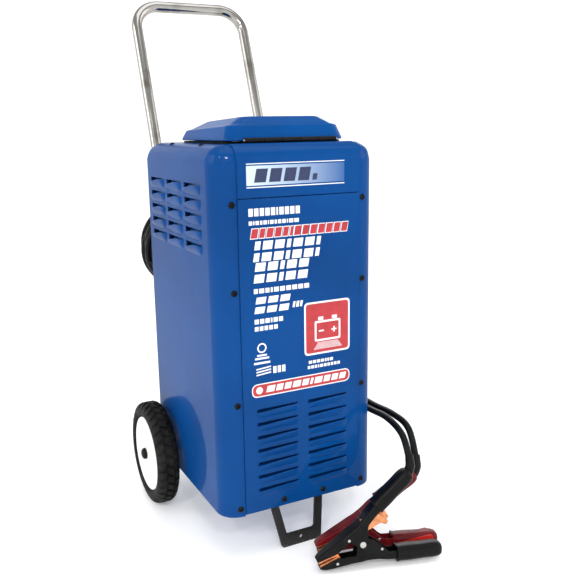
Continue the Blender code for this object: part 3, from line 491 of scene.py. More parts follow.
def photograph_camera():
    level = Vector((math.sin(CAMERA_YAW), math.cos(CAMERA_YAW), 0.0))
    forward = level * math.cos(CAMERA_PITCH) - Vector((0, 0, math.sin(CAMERA_PITCH)))
    right = Vector((level.y, -level.x, 0.0))
    down = forward.cross(right)
    across = math.cos(CAMERA_ROLL) * right + math.sin(CAMERA_ROLL) * down
    below = -math.sin(CAMERA_ROLL) * right + math.cos(CAMERA_ROLL) * down
    camera = add_object("camera", bpy.data.cameras.new("camera"))
    camera.data.lens = CAMERA_LENS
    camera.data.sensor_width = 36.0
    camera.matrix_world = Matrix((across, -below, -forward)).transposed().to_4x4()
    camera.matrix_world.translation = CAMERA_AT
    bpy.context.scene.camera = camera


def softboxes():
    for name, (at, size, power, shape) in LIGHTS.items():
        lamp = bpy.data.lights.new(name, "AREA")
        lamp.shape = shape
        lamp.size, lamp.size_y = size
        lamp.energy = power
        obj = add_object(name, lamp)
        obj.location = at
        obj.rotation_euler = (LIGHTS_AIM - Vector(at)).to_track_quat("-Z", "Y").to_euler()


def studio():
    """A pale bowl that glows faintly: a flat floor that curves up into a wall all round."""
    profile = [(0.02, 0.0), (1.0, 0.0), (FLOOR_RADIUS, 0.0)]
    for i in range(1, 13):
        angle = math.pi / 2 * i / 12
        profile.append((FLOOR_RADIUS + WALL_BEND * math.sin(angle), WALL_BEND * (1 - math.cos(angle))))
    profile.append((FLOOR_RADIUS + WALL_BEND, WALL_TOP))
    rings = [[(x, y, height) for x, y in circle(radius, 96)] for radius, height in profile]
    bm = bmesh.new()
    loft(bm, rings, caps=(True, False))
    paper = material("studio_paper", (0.95, 0.95, 0.95), (0.935, 0.935, 0.94), 0.8, patch=2.0)
    glow = paper.node_tree.nodes["Principled BSDF"].inputs
    glow["Emission Color"].default_value = (1.0, 1.0, 1.0, 1.0)
    glow["Emission Strength"].default_value = 0.18
    bowl = add_object("studio_floor", data_of("studio_floor", bm), paper)
    bowl.data.shade_smooth()
    world = bpy.data.worlds.new("studio")
    world.use_nodes = True
    sky = world.node_tree.nodes["Background"].inputs
    sky["Color"].default_value = (0.96, 0.98, 1.0, 1.0)
    sky["Strength"].default_value = 0.56
    bpy.context.scene.world = world
    bpy.context.scene.view_settings.view_transform = "Standard"


photograph_camera()
studio()
softboxes()


# ---------------------------------------------------------------- leads: one cord each, from gland to clamp

LEAD_DIAMETER = 0.012
COIL_CENTRE = Vector((-0.072, 0.0, 0.500))
COIL_STEPS = 28
WOUND_STEPS = 98
LAYER_OFFSET = 0.0061
# Turns wound so far, the coil's radius there and the side of its middle that the lead lies on
COIL_STOPS = [
    (0.0, 0.0803, 0), (0.45, 0.068, -1), (1.1, 0.068, -1), (1.5, 0.056, -1), (1.95, 0.056, -1),
    (2.3, 0.056, 1), (2.5, 0.056, 1), (2.9, 0.068, 1), (3.15, 0.068, 1), (3.5, 0.0803, 0),
]
COIL_Y = {"positive": 0.1429, "negative": 0.1689}
GLAND_AT = {"positive": Vector((0.030, BACK, 0.405)), "negative": Vector((0.062, BACK, 0.405))}
LEAD_ROUTES = {
    "positive": [
        (-0.012, 0.1429, 0.5783),
        (0.060, 0.1439, 0.548),
        (0.135, 0.148, 0.470),
        (0.184, 0.114, 0.385),
        (0.199, 0.040, 0.290),
        (0.199, -0.040, 0.234),
        (0.195, -0.110, 0.211),
        (0.190, -0.180, 0.2105),
        (0.188, -0.253, 0.215),
        (0.185, -0.305, 0.206),
    ],
    "negative": [
        (-0.012, 0.1689, 0.5783),
        (0.060, 0.1699, 0.545),
        (0.140, 0.168, 0.455),
        (0.198, 0.120, 0.362),
        (0.188, 0.040, 0.270),
        (0.181, -0.040, 0.218),
        (0.177, -0.110, 0.201),
        (0.172, -0.206, 0.2105),
        (0.165, -0.268, 0.217),
        (0.158, -0.323, 0.207),
    ],
}

# Each clamp's own frame: +X points to the jaw tips, +Y along the pivot pin, +Z to the half with the lead
CLAMP_ARM = 0.217
CLAMP_PIVOT = 0.082
TIP_HALF = 0.0045
# Each clamp's jaw tips, heading and sideways tilt, and the angle between its handles
CLAMPS = {
    "negative": ((-0.020, -0.3335, 0.0155), -0.288, 0.154, 0.72),
    "positive": ((0.002, -0.2885, 0.0155), -0.362, 0.128, 0.62),
}
BOOT_WAYS = {"negative": Vector((0.30, 0.56, 0.77)), "positive": Vector((0.30, 0.46, 0.84))}


def clamp_frame(kind):
    tip, heading, tilt, spread = CLAMPS[kind]
    along = Vector((math.cos(heading), math.sin(heading), 0.0))
    across = Vector((-along.y, along.x, 0.0))
    up = math.cos(tilt) * Vector((0, 0, 1)) + math.sin(tilt) * across
    half = spread / 2
    back = math.cos(half) * along + math.sin(half) * up
    lift = -math.sin(half) * along + math.cos(half) * up
    jaw = -back
    turn = Matrix((jaw, lift.cross(jaw), lift)).transposed().to_4x4()
    turn.translation = Vector(tip) + back * CLAMP_PIVOT
    return turn


def half_spread(kind):
    return CLAMPS[kind][3] / 2


def arm_line(kind, x):
    """How far the outside of a clamp half stands from the middle line, at this place along it."""
    return TIP_HALF + math.tan(half_spread(kind)) * (CLAMP_PIVOT - x)


def boot_line(kind):
    """The middle line of the rubber boot, from inside the clamp's sleeve to where it ends on the lead."""
    turn = clamp_frame(kind)
    half = half_spread(kind)
    end_x = CLAMP_PIVOT - CLAMP_ARM * math.cos(half)
    end = Vector((end_x, 0.0, arm_line(kind, end_x) - 0.0085))
    outward = Vector((-math.cos(half), 0.0, math.sin(half)))
    foot = turn @ (end + outward * 0.0060) + Vector((0, 0, 0.0085))
    way = BOOT_WAYS[kind].normalized()
    return [turn @ (end - outward * 0.010), turn @ end, foot, foot + way * 0.010, foot + way * 0.020]


def winding(kind):
    """Three and a half turns on the hanger, from the bottom of the coil to its top."""
    y = COIL_Y[kind]
    points = []
    for i in range(WOUND_STEPS + 1):
        turn = i / COIL_STEPS
        for (t0, r0, s0), (t1, r1, s1) in zip(COIL_STOPS, COIL_STOPS[1:]):
            if t0 <= turn <= t1:
                share = (turn - t0) / (t1 - t0)
                share = share * share * (3 - 2 * share)
                radius = r0 + (r1 - r0) * share
                side = s0 + (s1 - s0) * share
                break
        angle = -math.pi / 2 - math.tau * turn
        place = Vector((radius * math.cos(angle), y + side * LAYER_OFFSET, radius * math.sin(angle)))
        points.append(COIL_CENTRE + place)
    return points


def lead_line(kind):
    start = GLAND_AT[kind]
    y = COIL_Y[kind]
    feed = [start + Vector((0, out, 0)) for out in (0.004, 0.022, 0.032)]
    feed += [(start.x - 0.010, y - 0.004, 0.407), (start.x - 0.045, y, 0.4187)]
    feed.append((COIL_CENTRE.x + 0.010, y, 0.4197))
    turns = winding(kind)
    boot = boot_line(kind)
    rest = [turns[-1], *LEAD_ROUTES[kind], *reversed(boot[:4])]
    return smooth_line([*feed, *turns[1:-1:2], *rest], 0.009)


def lead_curve(kind):
    curve = bpy.data.curves.new(f"{kind}_cord", "CURVE")
    curve.dimensions = "3D"
    curve.bevel_depth = LEAD_DIAMETER / 2
    curve.bevel_resolution = 4
    curve.use_fill_caps = True
    points = lead_line(kind)
    spline = curve.splines.new("POLY")
    spline.points.add(len(points) - 1)
    for item, point in zip(spline.points, points):
        item.co = (*point, 1.0)
    spline.use_smooth = True
    obj = add_object(f"{kind}_cord", curve, CABLE)
    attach(obj, "root")
    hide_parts(f"{kind}_lead", f"{kind}_lead_feed", f"{kind}_lead_coil")
    return obj


def lead_boot(kind):
    """A ribbed rubber boot that tapers from the sleeve onto the lead."""
    line = smooth_line(boot_line(kind), 0.0016)
    count = len(line)

    def ring(i):
        share = i / (count - 1)
        radius = 0.0098 - 0.0030 * share
        if 0.45 < share < 0.95 and i % 3 == 0:
            radius += 0.0004
        return circle(radius, 24)

    bm = bmesh.new()
    sweep(bm, line, ring)
    return piece(f"{kind}_lead_boot", bm, CABLE, replaces=[f"{kind}_boot"])


CORDS = {kind: lead_curve(kind) for kind in LEAD_ROUTES}
BOOTS = {kind: lead_boot(kind) for kind in LEAD_ROUTES}


# ---------------------------------------------------------------- cabinet

SIDE_LOUVRE_TOPS = [0.6464 - 0.0247 * row for row in range(5)]
SIDE_LOUVRE_FRONTS = (FRONT + 0.058, FRONT + 0.150, FRONT + 0.242)
SIDE_LOUVRE_LENGTH = 0.080
FRONT_LOUVRE_TOPS = [0.273 - 0.0239 * row for row in range(7)]
FRONT_LOUVRE_SPAN = (0.0085, 0.0888)
CONTROL_OPENING = ((-0.090, -0.1941), (0.090, -0.0071))
WIDEST_BEVEL = 0.04
HEADER_CENTRE = (FRONT + TOP_RADIUS, TOP - TOP_RADIUS)
HEADER_RADIUS = TOP_RADIUS + 0.0025
CABINET_SCREW = (0.0055, 0.0032)


def louvre(bm, matrix, length, height, depth, low_end, droop):
    """A pressed scoop, its mouth along the top and wider at one end: X along it, Y up, Z outward."""
    across, rows = 26, 9

    def grid(shrink):
        points = []
        for j in range(rows + 1):
            up = j / rows
            line = []
            for i in range(across + 1):
                along = 2 * i / across - 1
                ends = max(0.0, 1 - abs(along) ** 5) ** 0.7
                swell = math.sin(math.pi / 2 * up) ** 0.9
                lip = -droop * up * max(0.0, 0.35 + 0.65 * along * low_end) ** 1.3
                level = (depth * ends - shrink) * swell - 0.0004
                line.append(matrix @ Vector((along * length / 2, lip - height * (1 - up), level)))
            points.append(line)
        return points

    sheets = [[[bm.verts.new(p) for p in line] for line in grid(shrink)] for shrink in (0.0, 0.0013)]
    for sheet in sheets:
        grid_faces(bm, sheet)
    grid_faces(bm, [sheet[-1] for sheet in sheets])


def side_frame(side, y, z):
    return Matrix.Translation((side * HALF, y, z)) @ Matrix(((0, 0, side), (-side, 0, 0), (0, 1, 0))).to_4x4()


def front_frame(x, z):
    return Matrix.Translation((x, FACE, z)) @ Matrix(((1, 0, 0), (0, 0, -1), (0, 1, 0))).to_4x4()


def cabinet_shell():
    bm = bmesh.new()
    block(bm, (-HALF, FRONT, BOTTOM), (HALF, BACK, TOP))
    bmesh.ops.recalc_face_normals(bm, faces=bm.faces)
    bmesh.ops.delete(bm, geom=[f for f in bm.faces if f.normal.z < -0.5], context="FACES_ONLY")
    weight = bm.edges.layers.float.new("bevel_weight_edge")
    for edge in bm.edges:
        middle = (edge.verts[0].co + edge.verts[1].co) / 2
        if abs(edge.verts[0].co.z - edge.verts[1].co.z) > 0.1:
            edge[weight] = CORNER / WIDEST_BEVEL if middle.y < 0 else 0.2
        elif middle.z > 0.5:
            edge[weight] = TOP_RADIUS / WIDEST_BEVEL
    shell = add_object("cabinet", data_of("cabinet", bm), BLUE)
    shell.data.shade_smooth()
    corners = shell.modifiers.new("corners", "BEVEL")
    corners.limit_method = "WEIGHT"
    corners.width = WIDEST_BEVEL
    corners.segments = 12
    corners.use_clamp_overlap = False
    thicken(shell, SHEET).use_even_offset = True

    def openings(bm):
        block(bm, (-PANEL_HALF - 0.0007, FRONT - 0.01, 0.05), (PANEL_HALF + 0.0007, FRONT + 0.01, PANEL_TOP))
        low, high = CONTROL_OPENING
        block(bm, (*low, TOP - 0.01), (*high, TOP + 0.01))
        block(bm, (-0.137, BACK - 0.01, 0.05), (0.137, BACK + 0.01, 0.668))
        axle = facing((1, 0, 0), (-HALF - 0.01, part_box("axle")[0].y + 0.00635, 0.1016))
        lathe(bm, [(0.0072, 0.0), (0.0072, 2 * HALF + 0.02)], axle, 24)

    def slots(bm):
        for z in SIDE_LOUVRE_TOPS:
            for y in SIDE_LOUVRE_FRONTS:
                for side in (-1, 1):
                    ends = sorted((side * (HALF - 0.01), side * (HALF + 0.01)))
                    back = y + SIDE_LOUVRE_LENGTH - 0.003
                    block(bm, (ends[0], y + 0.003, z - 0.011), (ends[1], back, z + 0.0036))

    subtract(shell, cutter("shell_openings", openings))
    subtract(shell, cutter("side_slots", slots))
    keep_normals(shell)
    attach(shell, "root")
    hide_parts("cabinet_shell")


def side_louvres():
    """Rows of scoops on both sides of the cabinet, with painted baffles behind them."""
    for side, name in ((-1, "left"), (1, "right")):
        bm = bmesh.new()
        for z in SIDE_LOUVRE_TOPS:
            for y in SIDE_LOUVRE_FRONTS:
                place = side_frame(side, y + SIDE_LOUVRE_LENGTH / 2, z + 0.0020)
                louvre(bm, place, SIDE_LOUVRE_LENGTH, 0.0175, 0.0056, -side, 0.0095)
        piece(f"louvres_{name}", bm, BLUE, crease=60)
        bm = bmesh.new()
        low, high = min(SIDE_LOUVRE_TOPS) - 0.016, max(SIDE_LOUVRE_TOPS) + 0.008
        for y in SIDE_LOUVRE_FRONTS:
            ends = sorted((side * (HALF - 0.0095), side * (HALF - 0.0107)))
            block(bm, (ends[0], y - 0.001, low), (ends[1], y + SIDE_LOUVRE_LENGTH + 0.001, high))
        piece(f"baffles_{name}", bm, BLUE, edge=0.0004)


def front_panel():
    """The raised tray, with a rolled edge each side and two columns of pressed louvres."""
    inner = FRONT + SHEET + 0.0009
    half = [(PANEL_HALF, FACE), (PANEL_HALF, inner), (0.1205, inner + 0.0006), (0.1203, inner + 0.0024)]
    half += [(PANEL_HALF - SHEET, inner + SHEET), (PANEL_HALF - SHEET, FACE + SHEET)]
    outline = fillet(half + [(-x, y) for x, y in reversed(half)], 0.0014, steps=3)
    bm = bmesh.new()
    extrude(bm, outline, Matrix.Identity(4), 0.0895, PANEL_TOP - 0.0008)
    panel = piece("front_tray", bm, BLUE, replaces=["front_panel"], crease=40)

    def slots(bm):
        for z in FRONT_LOUVRE_TOPS:
            for side in (-1, 1):
                low, high = sorted(side * x for x in FRONT_LOUVRE_SPAN)
                block(bm, (low + 0.002, FACE - 0.01, z - 0.008), (high - 0.002, FACE + 0.005, z + 0.0026))

    cut(panel, cutter("front_slots", slots))
    bm = bmesh.new()
    length = FRONT_LOUVRE_SPAN[1] - FRONT_LOUVRE_SPAN[0]
    middle = sum(FRONT_LOUVRE_SPAN) / 2
    for z in FRONT_LOUVRE_TOPS:
        for side in (-1, 1):
            louvre(bm, front_frame(side * middle, z + 0.0010), length, 0.0150, 0.0044, -1, 0.0040)
    piece("louvres_front", bm, BLUE, crease=60)
    bm = bmesh.new()
    low, high = FRONT_LOUVRE_TOPS[-1] - 0.014, FRONT_LOUVRE_TOPS[0] + 0.008
    for side in (-1, 1):
        ends = sorted(side * x for x in FRONT_LOUVRE_SPAN)
        block(bm, (ends[0] - 0.004, FACE + 0.0105, low), (ends[1] + 0.004, FACE + 0.0117, high))
    piece("front_baffles", bm, BLUE, edge=0.0004)


def header():
    """The plate above the front panel; it wraps over the cabinet's front top edge."""
    wrap_end = math.pi - math.radians(74)
    low = PANEL_TOP + 0.0004
    inner = TOP_RADIUS + 0.0003
    outline = [(HEADER_CENTRE[0] - HEADER_RADIUS, low)]
    outline += arc(HEADER_CENTRE, HEADER_RADIUS, math.pi, wrap_end, 14)
    outline += arc(HEADER_CENTRE, inner, wrap_end, math.pi, 14)
    outline.append((HEADER_CENTRE[0] - inner, low))
    across = Matrix(((0, 0, 1), (1, 0, 0), (0, 1, 0))).to_4x4()
    bm = bmesh.new()
    extrude(bm, outline, across, -PANEL_HALF, PANEL_HALF)
    piece("header_plate", bm, BLUE, replaces=["header_panel"], edge=0.0007, crease=40)


def screw_head(bm, matrix, radius, height):
    """A pan head with a cross recess."""
    steps = 12
    rings = []
    for j in range(steps):
        out = radius * (1 - j / steps)
        ring = []
        for x, y in circle(out, 32):
            level = height * (1 - (out / radius) ** 3)
            if out < radius * 0.55 and min(abs(x), abs(y)) < radius * 0.14:
                level -= height * 0.55
            ring.append(matrix @ Vector((x, y, level)))
        rings.append(ring)
    loft(bm, rings, caps=(False, True))


def cabinet_screws():
    """Screws down the rounded front corners, along the front's foot, on the top and down the back."""
    bm = bmesh.new()
    turn = math.asin((0.121 - (HALF - CORNER)) / CORNER)
    back = CORNER * (1 - math.cos(turn))
    for z in (0.620, 0.4785, 0.287, 0.1007):
        for side in (-1, 1):
            way = Vector((side * math.sin(turn), -math.cos(turn), 0.0))
            screw_head(bm, facing(way, (side * 0.121, FRONT + back, z)), *CABINET_SCREW)
    for side in (-1, 1):
        screw_head(bm, facing((0, -1, 0), (side * 0.039, FACE, 0.1005)), *CABINET_SCREW)
    turn = math.asin((0.131 - (HALF - TOP_RADIUS)) / TOP_RADIUS)
    drop = TOP_RADIUS * (1 - math.cos(turn))
    for side, y in ((-1, -0.003), (-1, -0.150), (1, -0.003), (1, -0.145)):
        way = Vector((side * math.sin(turn), 0.0, math.cos(turn)))
        screw_head(bm, facing(way, (side * 0.131, y, TOP - drop)), 0.0048, 0.0026)
    for z in (0.160, 0.400, 0.655):
        for side in (-1, 1):
            screw_head(bm, facing((0, 1, 0), (side * 0.1435, BACK, z)), 0.0036, 0.0018)
    piece("cabinet_screws", bm, BLACK_PAINT, crease=50)


# ---------------------------------------------------------------- printed front

INK_LIFT = 0.00018
INK_STEP = 0.00012


def print_on(bm, outline, layer=0):
    """A flat printed mark on the front panel, as (x, z) points going round; later layers stand prouder."""
    level = FACE - INK_LIFT - INK_STEP * layer
    bm.faces.new([bm.verts.new((x, level, z)) for x, z in outline])


def bar(x0, x1, z0, z1, rise=0.0, lean=0.0, radius=0.0006):
    """A bar that can climb to the right and lean like slanted type."""
    return fillet([(x0, z0), (x1, z0 + rise), (x1 + lean, z1 + rise), (x0 + lean, z1)], radius, steps=3)


def word_bars(bm, x0, x1, z0, z1, shares, gap, lean=0.0, layer=0):
    """A row of bars with the look of a word or number, and no letters in it."""
    free = (x1 - x0) - gap * (len(shares) - 1)
    at = x0
    for share in shares:
        width = free * share / sum(shares)
        print_on(bm, bar(at, at + width, z0, z1, lean=lean), layer)
        at += width + gap


def big_row(bm, x0, x1, z0, z1, shares):
    """A row of large slanted blocks, each split across, in place of large type."""
    split = 0.0025
    middle = (z0 + z1) / 2
    for start, low, high in ((0.0, z0, middle - split), (0.0025, middle + split, z1)):
        word_bars(bm, x0 + start, x1 + start, low, high, shares, 0.0046, lean=0.0025)


def front_print():
    """Plain bars, rings and a battery sign stand where the real panel has words and marks."""
    white = bmesh.new()
    word_bars(white, -0.094, -0.002, 0.6005, 0.6130, (5, 5, 5, 5, 5, 2, 5, 5, 5, 5), 0.0022)
    word_bars(white, -0.094, -0.004, 0.5865, 0.5930, (3, 1, 3, 2, 3, 1, 3, 2, 3, 3, 1, 4, 4), 0.0018)
    big_row(white, -0.088, 0.033, 0.5270, 0.5600, (4, 7, 7, 3, 7, 7, 3))
    big_row(white, -0.088, 0.010, 0.4920, 0.5250, (7, 7, 3, 7, 7))
    word_bars(white, -0.088, 0.014, 0.4745, 0.4825, (4, 5, 4, 2, 5, 5, 5, 5, 5, 5), 0.0022)
    big_row(white, -0.088, -0.026, 0.4410, 0.4680, (7, 7, 7))
    word_bars(white, -0.018, 0.000, 0.4440, 0.4540, (5, 6, 5), 0.0022, lean=0.002)
    word_bars(white, -0.088, -0.036, 0.4235, 0.4315, (5, 5, 5, 2, 5, 5), 0.0020)
    word_bars(white, -0.088, -0.046, 0.4115, 0.4190, (5, 5, 5, 5, 5), 0.0020)
    word_bars(white, 0.012, 0.060, 0.3400, 0.3455, (4, 4, 4, 4, 2, 2, 4), 0.0016)
    word_bars(white, 0.010, 0.074, 0.3310, 0.3365, (4, 4, 4, 2, 5, 4, 4, 4, 4, 4), 0.0016)
    for z in (0.3345, 0.3395, 0.3445):
        print_on(white, bar(-0.087, -0.060, z, z + 0.0024, rise=0.0024, radius=0.0003))
    word_bars(white, -0.056, -0.033, 0.3350, 0.3470, (1, 1, 1), 0.0022)
    ring = []
    for radius in (0.0085, 0.0060):
        ring.append([(x - 0.0760, FACE - INK_LIFT, z + 0.3820) for x, z in circle(radius, 32)])
    loft(white, ring, caps=(False, False))
    for z, half in ((0.3680, 0.009), (0.3625, 0.013), (0.3545, 0.015)):
        print_on(white, bar(-0.076 - half, -0.076 + half, z, z + 0.0030 + 0.1 * (half - 0.009)))
    print_on(white, rounded_box(-0.096, 0.297, 0.094, 0.3205, 0.012, 8))
    print_on(white, rounded_box(0.004, 0.355, 0.094, 0.448, 0.008, 6))
    banner = (5, 4, 5, 5, 4, 2, 5, 5, 5, 5, 5, 5, 5)
    word_bars(white, -0.0925, 0.0885, 0.5640, 0.5815, banner, 0.0012, lean=0.003)
    piece("print_white", white, WHITE_INK, crease=30)

    red = bmesh.new()
    print_on(red, rounded_box(-0.0942, 0.2988, 0.0922, 0.3187, 0.0108, 8), 1)
    print_on(red, rounded_box(0.0072, 0.3582, 0.0908, 0.4448, 0.006, 6), 1)
    word_bars(red, -0.0915, 0.0875, 0.5652, 0.5803, banner, 0.0034, lean=0.003, layer=1)
    piece("print_red", red, RED_INK, crease=30)

    top = bmesh.new()
    word_bars(top, -0.070, 0.084, 0.3035, 0.3145, (6, 5, 5, 6, 5, 2, 6, 5, 5, 5), 0.0034, lean=0.003, layer=2)
    print_on(top, [(x - 0.0822, z + 0.3088) for x, z in circle(0.0062, 20)], 2)
    print_on(top, rounded_box(0.024, 0.378, 0.075, 0.414, 0.003), 2)
    print_on(top, bar(0.031, 0.041, 0.4150, 0.4210), 2)
    print_on(top, bar(0.058, 0.068, 0.4150, 0.4210), 2)
    for i in range(9):
        z = 0.3640 + i * 0.0014
        print_on(top, bar(0.022 + i * 0.001, 0.078 - i * 0.001, z, z + 0.0006, radius=0.0002), 2)
    piece("print_top", top, WHITE_INK, crease=30)

    inner = bmesh.new()
    print_on(inner, rounded_box(0.0275, 0.3815, 0.0715, 0.4105, 0.002), 3)
    piece("print_battery", inner, RED_INK, crease=30)
    signs = bmesh.new()
    print_on(signs, bar(0.0320, 0.0420, 0.3947, 0.3975), 4)
    print_on(signs, bar(0.0570, 0.0670, 0.3947, 0.3975), 4)
    print_on(signs, bar(0.0606, 0.0634, 0.3911, 0.3947), 4)
    print_on(signs, bar(0.0606, 0.0634, 0.3975, 0.4011), 4)
    piece("print_signs", signs, WHITE_INK, crease=30)


def header_strip(bm, x0, x1, z0, z1, lift, lean=0.0):
    """A printed strip that follows the header plate's curve."""
    rows = 6
    out = HEADER_RADIUS + lift
    lines = []
    for j in range(rows + 1):
        z = z0 + (z1 - z0) * j / rows
        above = max(0.0, z - HEADER_CENTRE[1])
        y = HEADER_CENTRE[0] - math.sqrt(out**2 - above**2)
        lines.append([bm.verts.new((x + lean * j / rows, y, z)) for x in (x0, x1)])
    grid_faces(bm, lines)


def header_print():
    """A fading band on the curved header, with plain dark bars where the real one has its number."""
    fade = bmesh.new()
    header_strip(fade, -0.096, 0.083, 0.6490, 0.6800, 0.0002)
    piece("header_band", fade, HEADER_FADE, crease=30)
    lines = bmesh.new()
    header_strip(lines, -0.096, 0.083, 0.6452, 0.6468, 0.0002)
    header_strip(lines, -0.096, 0.083, 0.6822, 0.6836, 0.0002)
    piece("header_lines", lines, WHITE_INK, crease=30)
    marks = bmesh.new()
    for x in (-0.083, -0.057, -0.031, -0.005):
        header_strip(marks, x, x + 0.0205, 0.6535, 0.6750, 0.0004, 0.0045)
    header_strip(marks, 0.0215, 0.0300, 0.6535, 0.6640, 0.0004, 0.0020)
    piece("header_marks", marks, DARK_INK, crease=30)


cabinet_shell()
side_louvres()
front_panel()
header()
cabinet_screws()
front_print()
header_print()


# ---------------------------------------------------------------- hood

HOOD_HALF = 0.110
HOOD_FRONT = -0.2151
HOOD_BACK = 0.0129
HOOD_SLOPE = 0.009 / (HOOD_BACK - HOOD_FRONT)


def hood_rings(levels):
    """One ring a level: how far its sides, front and back draw in, its chamfer, height and slope."""
    rings = []
    for side, front, back, chamfer, height, slope in levels:
        x = HOOD_HALF - side
        low = HOOD_FRONT + front
        high = HOOD_BACK - back
        cut_back = chamfer * 0.6
        plan = [(-x + chamfer, low), (x - chamfer, low), (x, low + chamfer), (x, high - cut_back)]
        plan += [(x - cut_back, high), (-x + cut_back, high), (-x, high - cut_back), (-x, low + chamfer)]
        rounded = fillet(plan, 0.007, steps=5)
        rings.append([Vector((px, py, height - slope * (py - HOOD_FRONT))) for px, py in rounded])
    return rings


def hood():
    """The sloped weather hood: a low body with a raised middle, open underneath."""
    levels = [
        (0.0, 0.0, 0.0, 0.015, 0.7180, 0.0),
        (0.0006, 0.0005, 0.0003, 0.015, 0.7215, 0.0),
        (0.0075, 0.010, 0.005, 0.013, 0.7430, HOOD_SLOPE),
        (0.016, 0.014, 0.012, 0.012, 0.7450, HOOD_SLOPE),
        (0.038, 0.023, 0.040, 0.012, 0.7575, HOOD_SLOPE),
        (0.060, 0.045, 0.060, 0.012, 0.7577, HOOD_SLOPE),
    ]
    eased = fillet(levels, 0.0045, closed=False, steps=4)
    bm = bmesh.new()
    loft(bm, hood_rings(eased), caps=(False, True))
    obj = add_object("weather_hood", data_of("weather_hood", bm), HOOD_BLUE)
    obj.data.shade_smooth()
    thicken(obj, 0.002)
    keep_normals(obj)
    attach(obj, "hood")
    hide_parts("control_hood")


hood()
for name in ("hood_hinge_base", "hood_hinge_leaf"):
    dress(name, BLACK_PAINT)
dress("hood_hinge_pin", STEEL)
dress("hood_gasket", TYRE)


# ---------------------------------------------------------------- wheels and axle

AXLE = Vector((0.0, 0.0509, 0.1016))
WHEEL_MIDDLE = 0.179
TREAD_BLOCKS = 34
# The tyre's outer radius at distances from its middle
CROWN = [
    (0.0, 0.1016), (0.008, 0.1016), (0.0135, 0.1003), (0.0180, 0.0972),
    (0.0205, 0.0926), (0.0218, 0.0868), (0.0220, 0.0850),
]
# Profiles as (radius, distance from the wheel's middle or from the cap's foot)
CARCASS = [
    (0.0738, -0.0160), (0.0775, -0.0208), (0.0850, -0.0218),
    (0.0905, -0.0200), (0.0960, -0.0145), (0.0972, -0.006),
]
DISC = [
    (0.0067, 0.0190), (0.0130, 0.0190), (0.0165, 0.0150), (0.0300, 0.0132), (0.0520, 0.0148),
    (0.0630, 0.0172), (0.0665, 0.0176), (0.0690, 0.0186), (0.0733, 0.0182), (0.0733, 0.0150),
    (0.0725, -0.0150), (0.0733, -0.0182), (0.0700, -0.0186), (0.0700, 0.0105), (0.0300, 0.0085),
    (0.0170, 0.0070), (0.0135, 0.0040), (0.0135, -0.0210), (0.0067, -0.0210),
]
CAP = [
    (0.0067, 0.0), (0.0112, 0.0), (0.0112, 0.0022), (0.0103, 0.0050),
    (0.0078, 0.0070), (0.0040, 0.0082), (0.0004, 0.0085),
]


def crown(x):
    """The tyre's outer radius at this distance from its middle."""
    x = min(abs(x), CROWN[-1][0])
    for (x0, r0), (x1, r1) in zip(CROWN, CROWN[1:]):
        if x <= x1:
            return r0 + (r1 - r0) * (x - x0) / (x1 - x0)


def tread_block(bm, matrix, middle, width, x0, x1, skew):
    """One rubber block on the crown, with sloped sides down to the tyre."""
    across, along = 4, 2
    centre = (x0 + x1) / 2

    def sheet(depth, scale):
        rows = []
        for j in range(along + 1):
            row = []
            for i in range(across + 1):
                x = x0 + (x1 - x0) * i / across
                turn = middle + scale * (width * (j / along - 0.5) + skew * (i / across - 0.5))
                radius = crown(x) - depth
                across_at = centre + (x - centre) * scale
                place = Vector((radius * math.cos(turn), radius * math.sin(turn), across_at))
                row.append(bm.verts.new(matrix @ place))
            rows.append(row)
        return rows

    top = sheet(0.0001, 0.86)
    foot = sheet(0.0048, 1.0)
    grid_faces(bm, top)
    join_rims(bm, top, foot)


def wheel(side, name):
    """A tyre with its tread and a disc that turn together, and the fixed cap on the axle's end."""
    middle = side * WHEEL_MIDDLE
    matrix = facing((1, 0, 0), (middle, AXLE.y, AXLE.z))
    body = f"wheel_{name}"
    carcass = CARCASS + [(radius, -x) for radius, x in reversed(CARCASS)]
    bm = bmesh.new()
    lathe(bm, fillet(carcass, 0.003, steps=3), matrix, 96, closed=True)
    step = math.tau / TREAD_BLOCKS
    for i in range(TREAD_BLOCKS):
        angle = step * i
        tread_block(bm, matrix, angle, step * 0.74, -0.0062, 0.0062, step * 0.35)
        for x0, x1 in ((0.0082, 0.0205), (-0.0205, -0.0082)):
            tread_block(bm, matrix, angle + step / 2, step * 0.70, x0, x1, -step * 0.30)
    piece(f"tread_{name}", bm, TYRE, body=body, replaces=[f"tyre_{name}"], crease=30)
    bm = bmesh.new()
    turn = facing((side, 0, 0), (middle, AXLE.y, AXLE.z))
    lathe(bm, fillet(DISC, 0.0022, steps=4), turn, 72, closed=True)
    piece(f"rim_{name}", bm, RIM, body=body, replaces=[f"wheel_rim_{name}"], crease=50)
    bm = bmesh.new()
    foot = facing((side, 0, 0), (side * 0.1988, AXLE.y, AXLE.z))
    lathe(bm, fillet(CAP, 0.0012, closed=False, steps=4), foot, 40)
    piece(f"cap_{name}", bm, BLACK_PLASTIC, replaces=[f"axle_cap_{name}"], crease=50)


for side, name in ((-1, "left"), (1, "right")):
    wheel(side, name)
dress("axle", STEEL)
dress("axle_bracket_left", BLACK_PAINT)
dress("axle_bracket_right", BLACK_PAINT)


# ---------------------------------------------------------------- handle and foot

HANDLE_RADIUS = 0.011
HANDLE_HALF = 0.117
HANDLE_LEAN = math.radians(20.7)
HANDLE_LEG_Y = BACK + 0.0145
HANDLE_FOOT_Z = 0.345
HANDLE_BEND_Z = 0.647
HANDLE_TOP_Z = 0.984
LEG_BEND_RADIUS = 0.060
FOOT_FRONT = 0.0095
GRIP_BEND_RADIUS = 0.050
STRAP_HALF = 0.0125
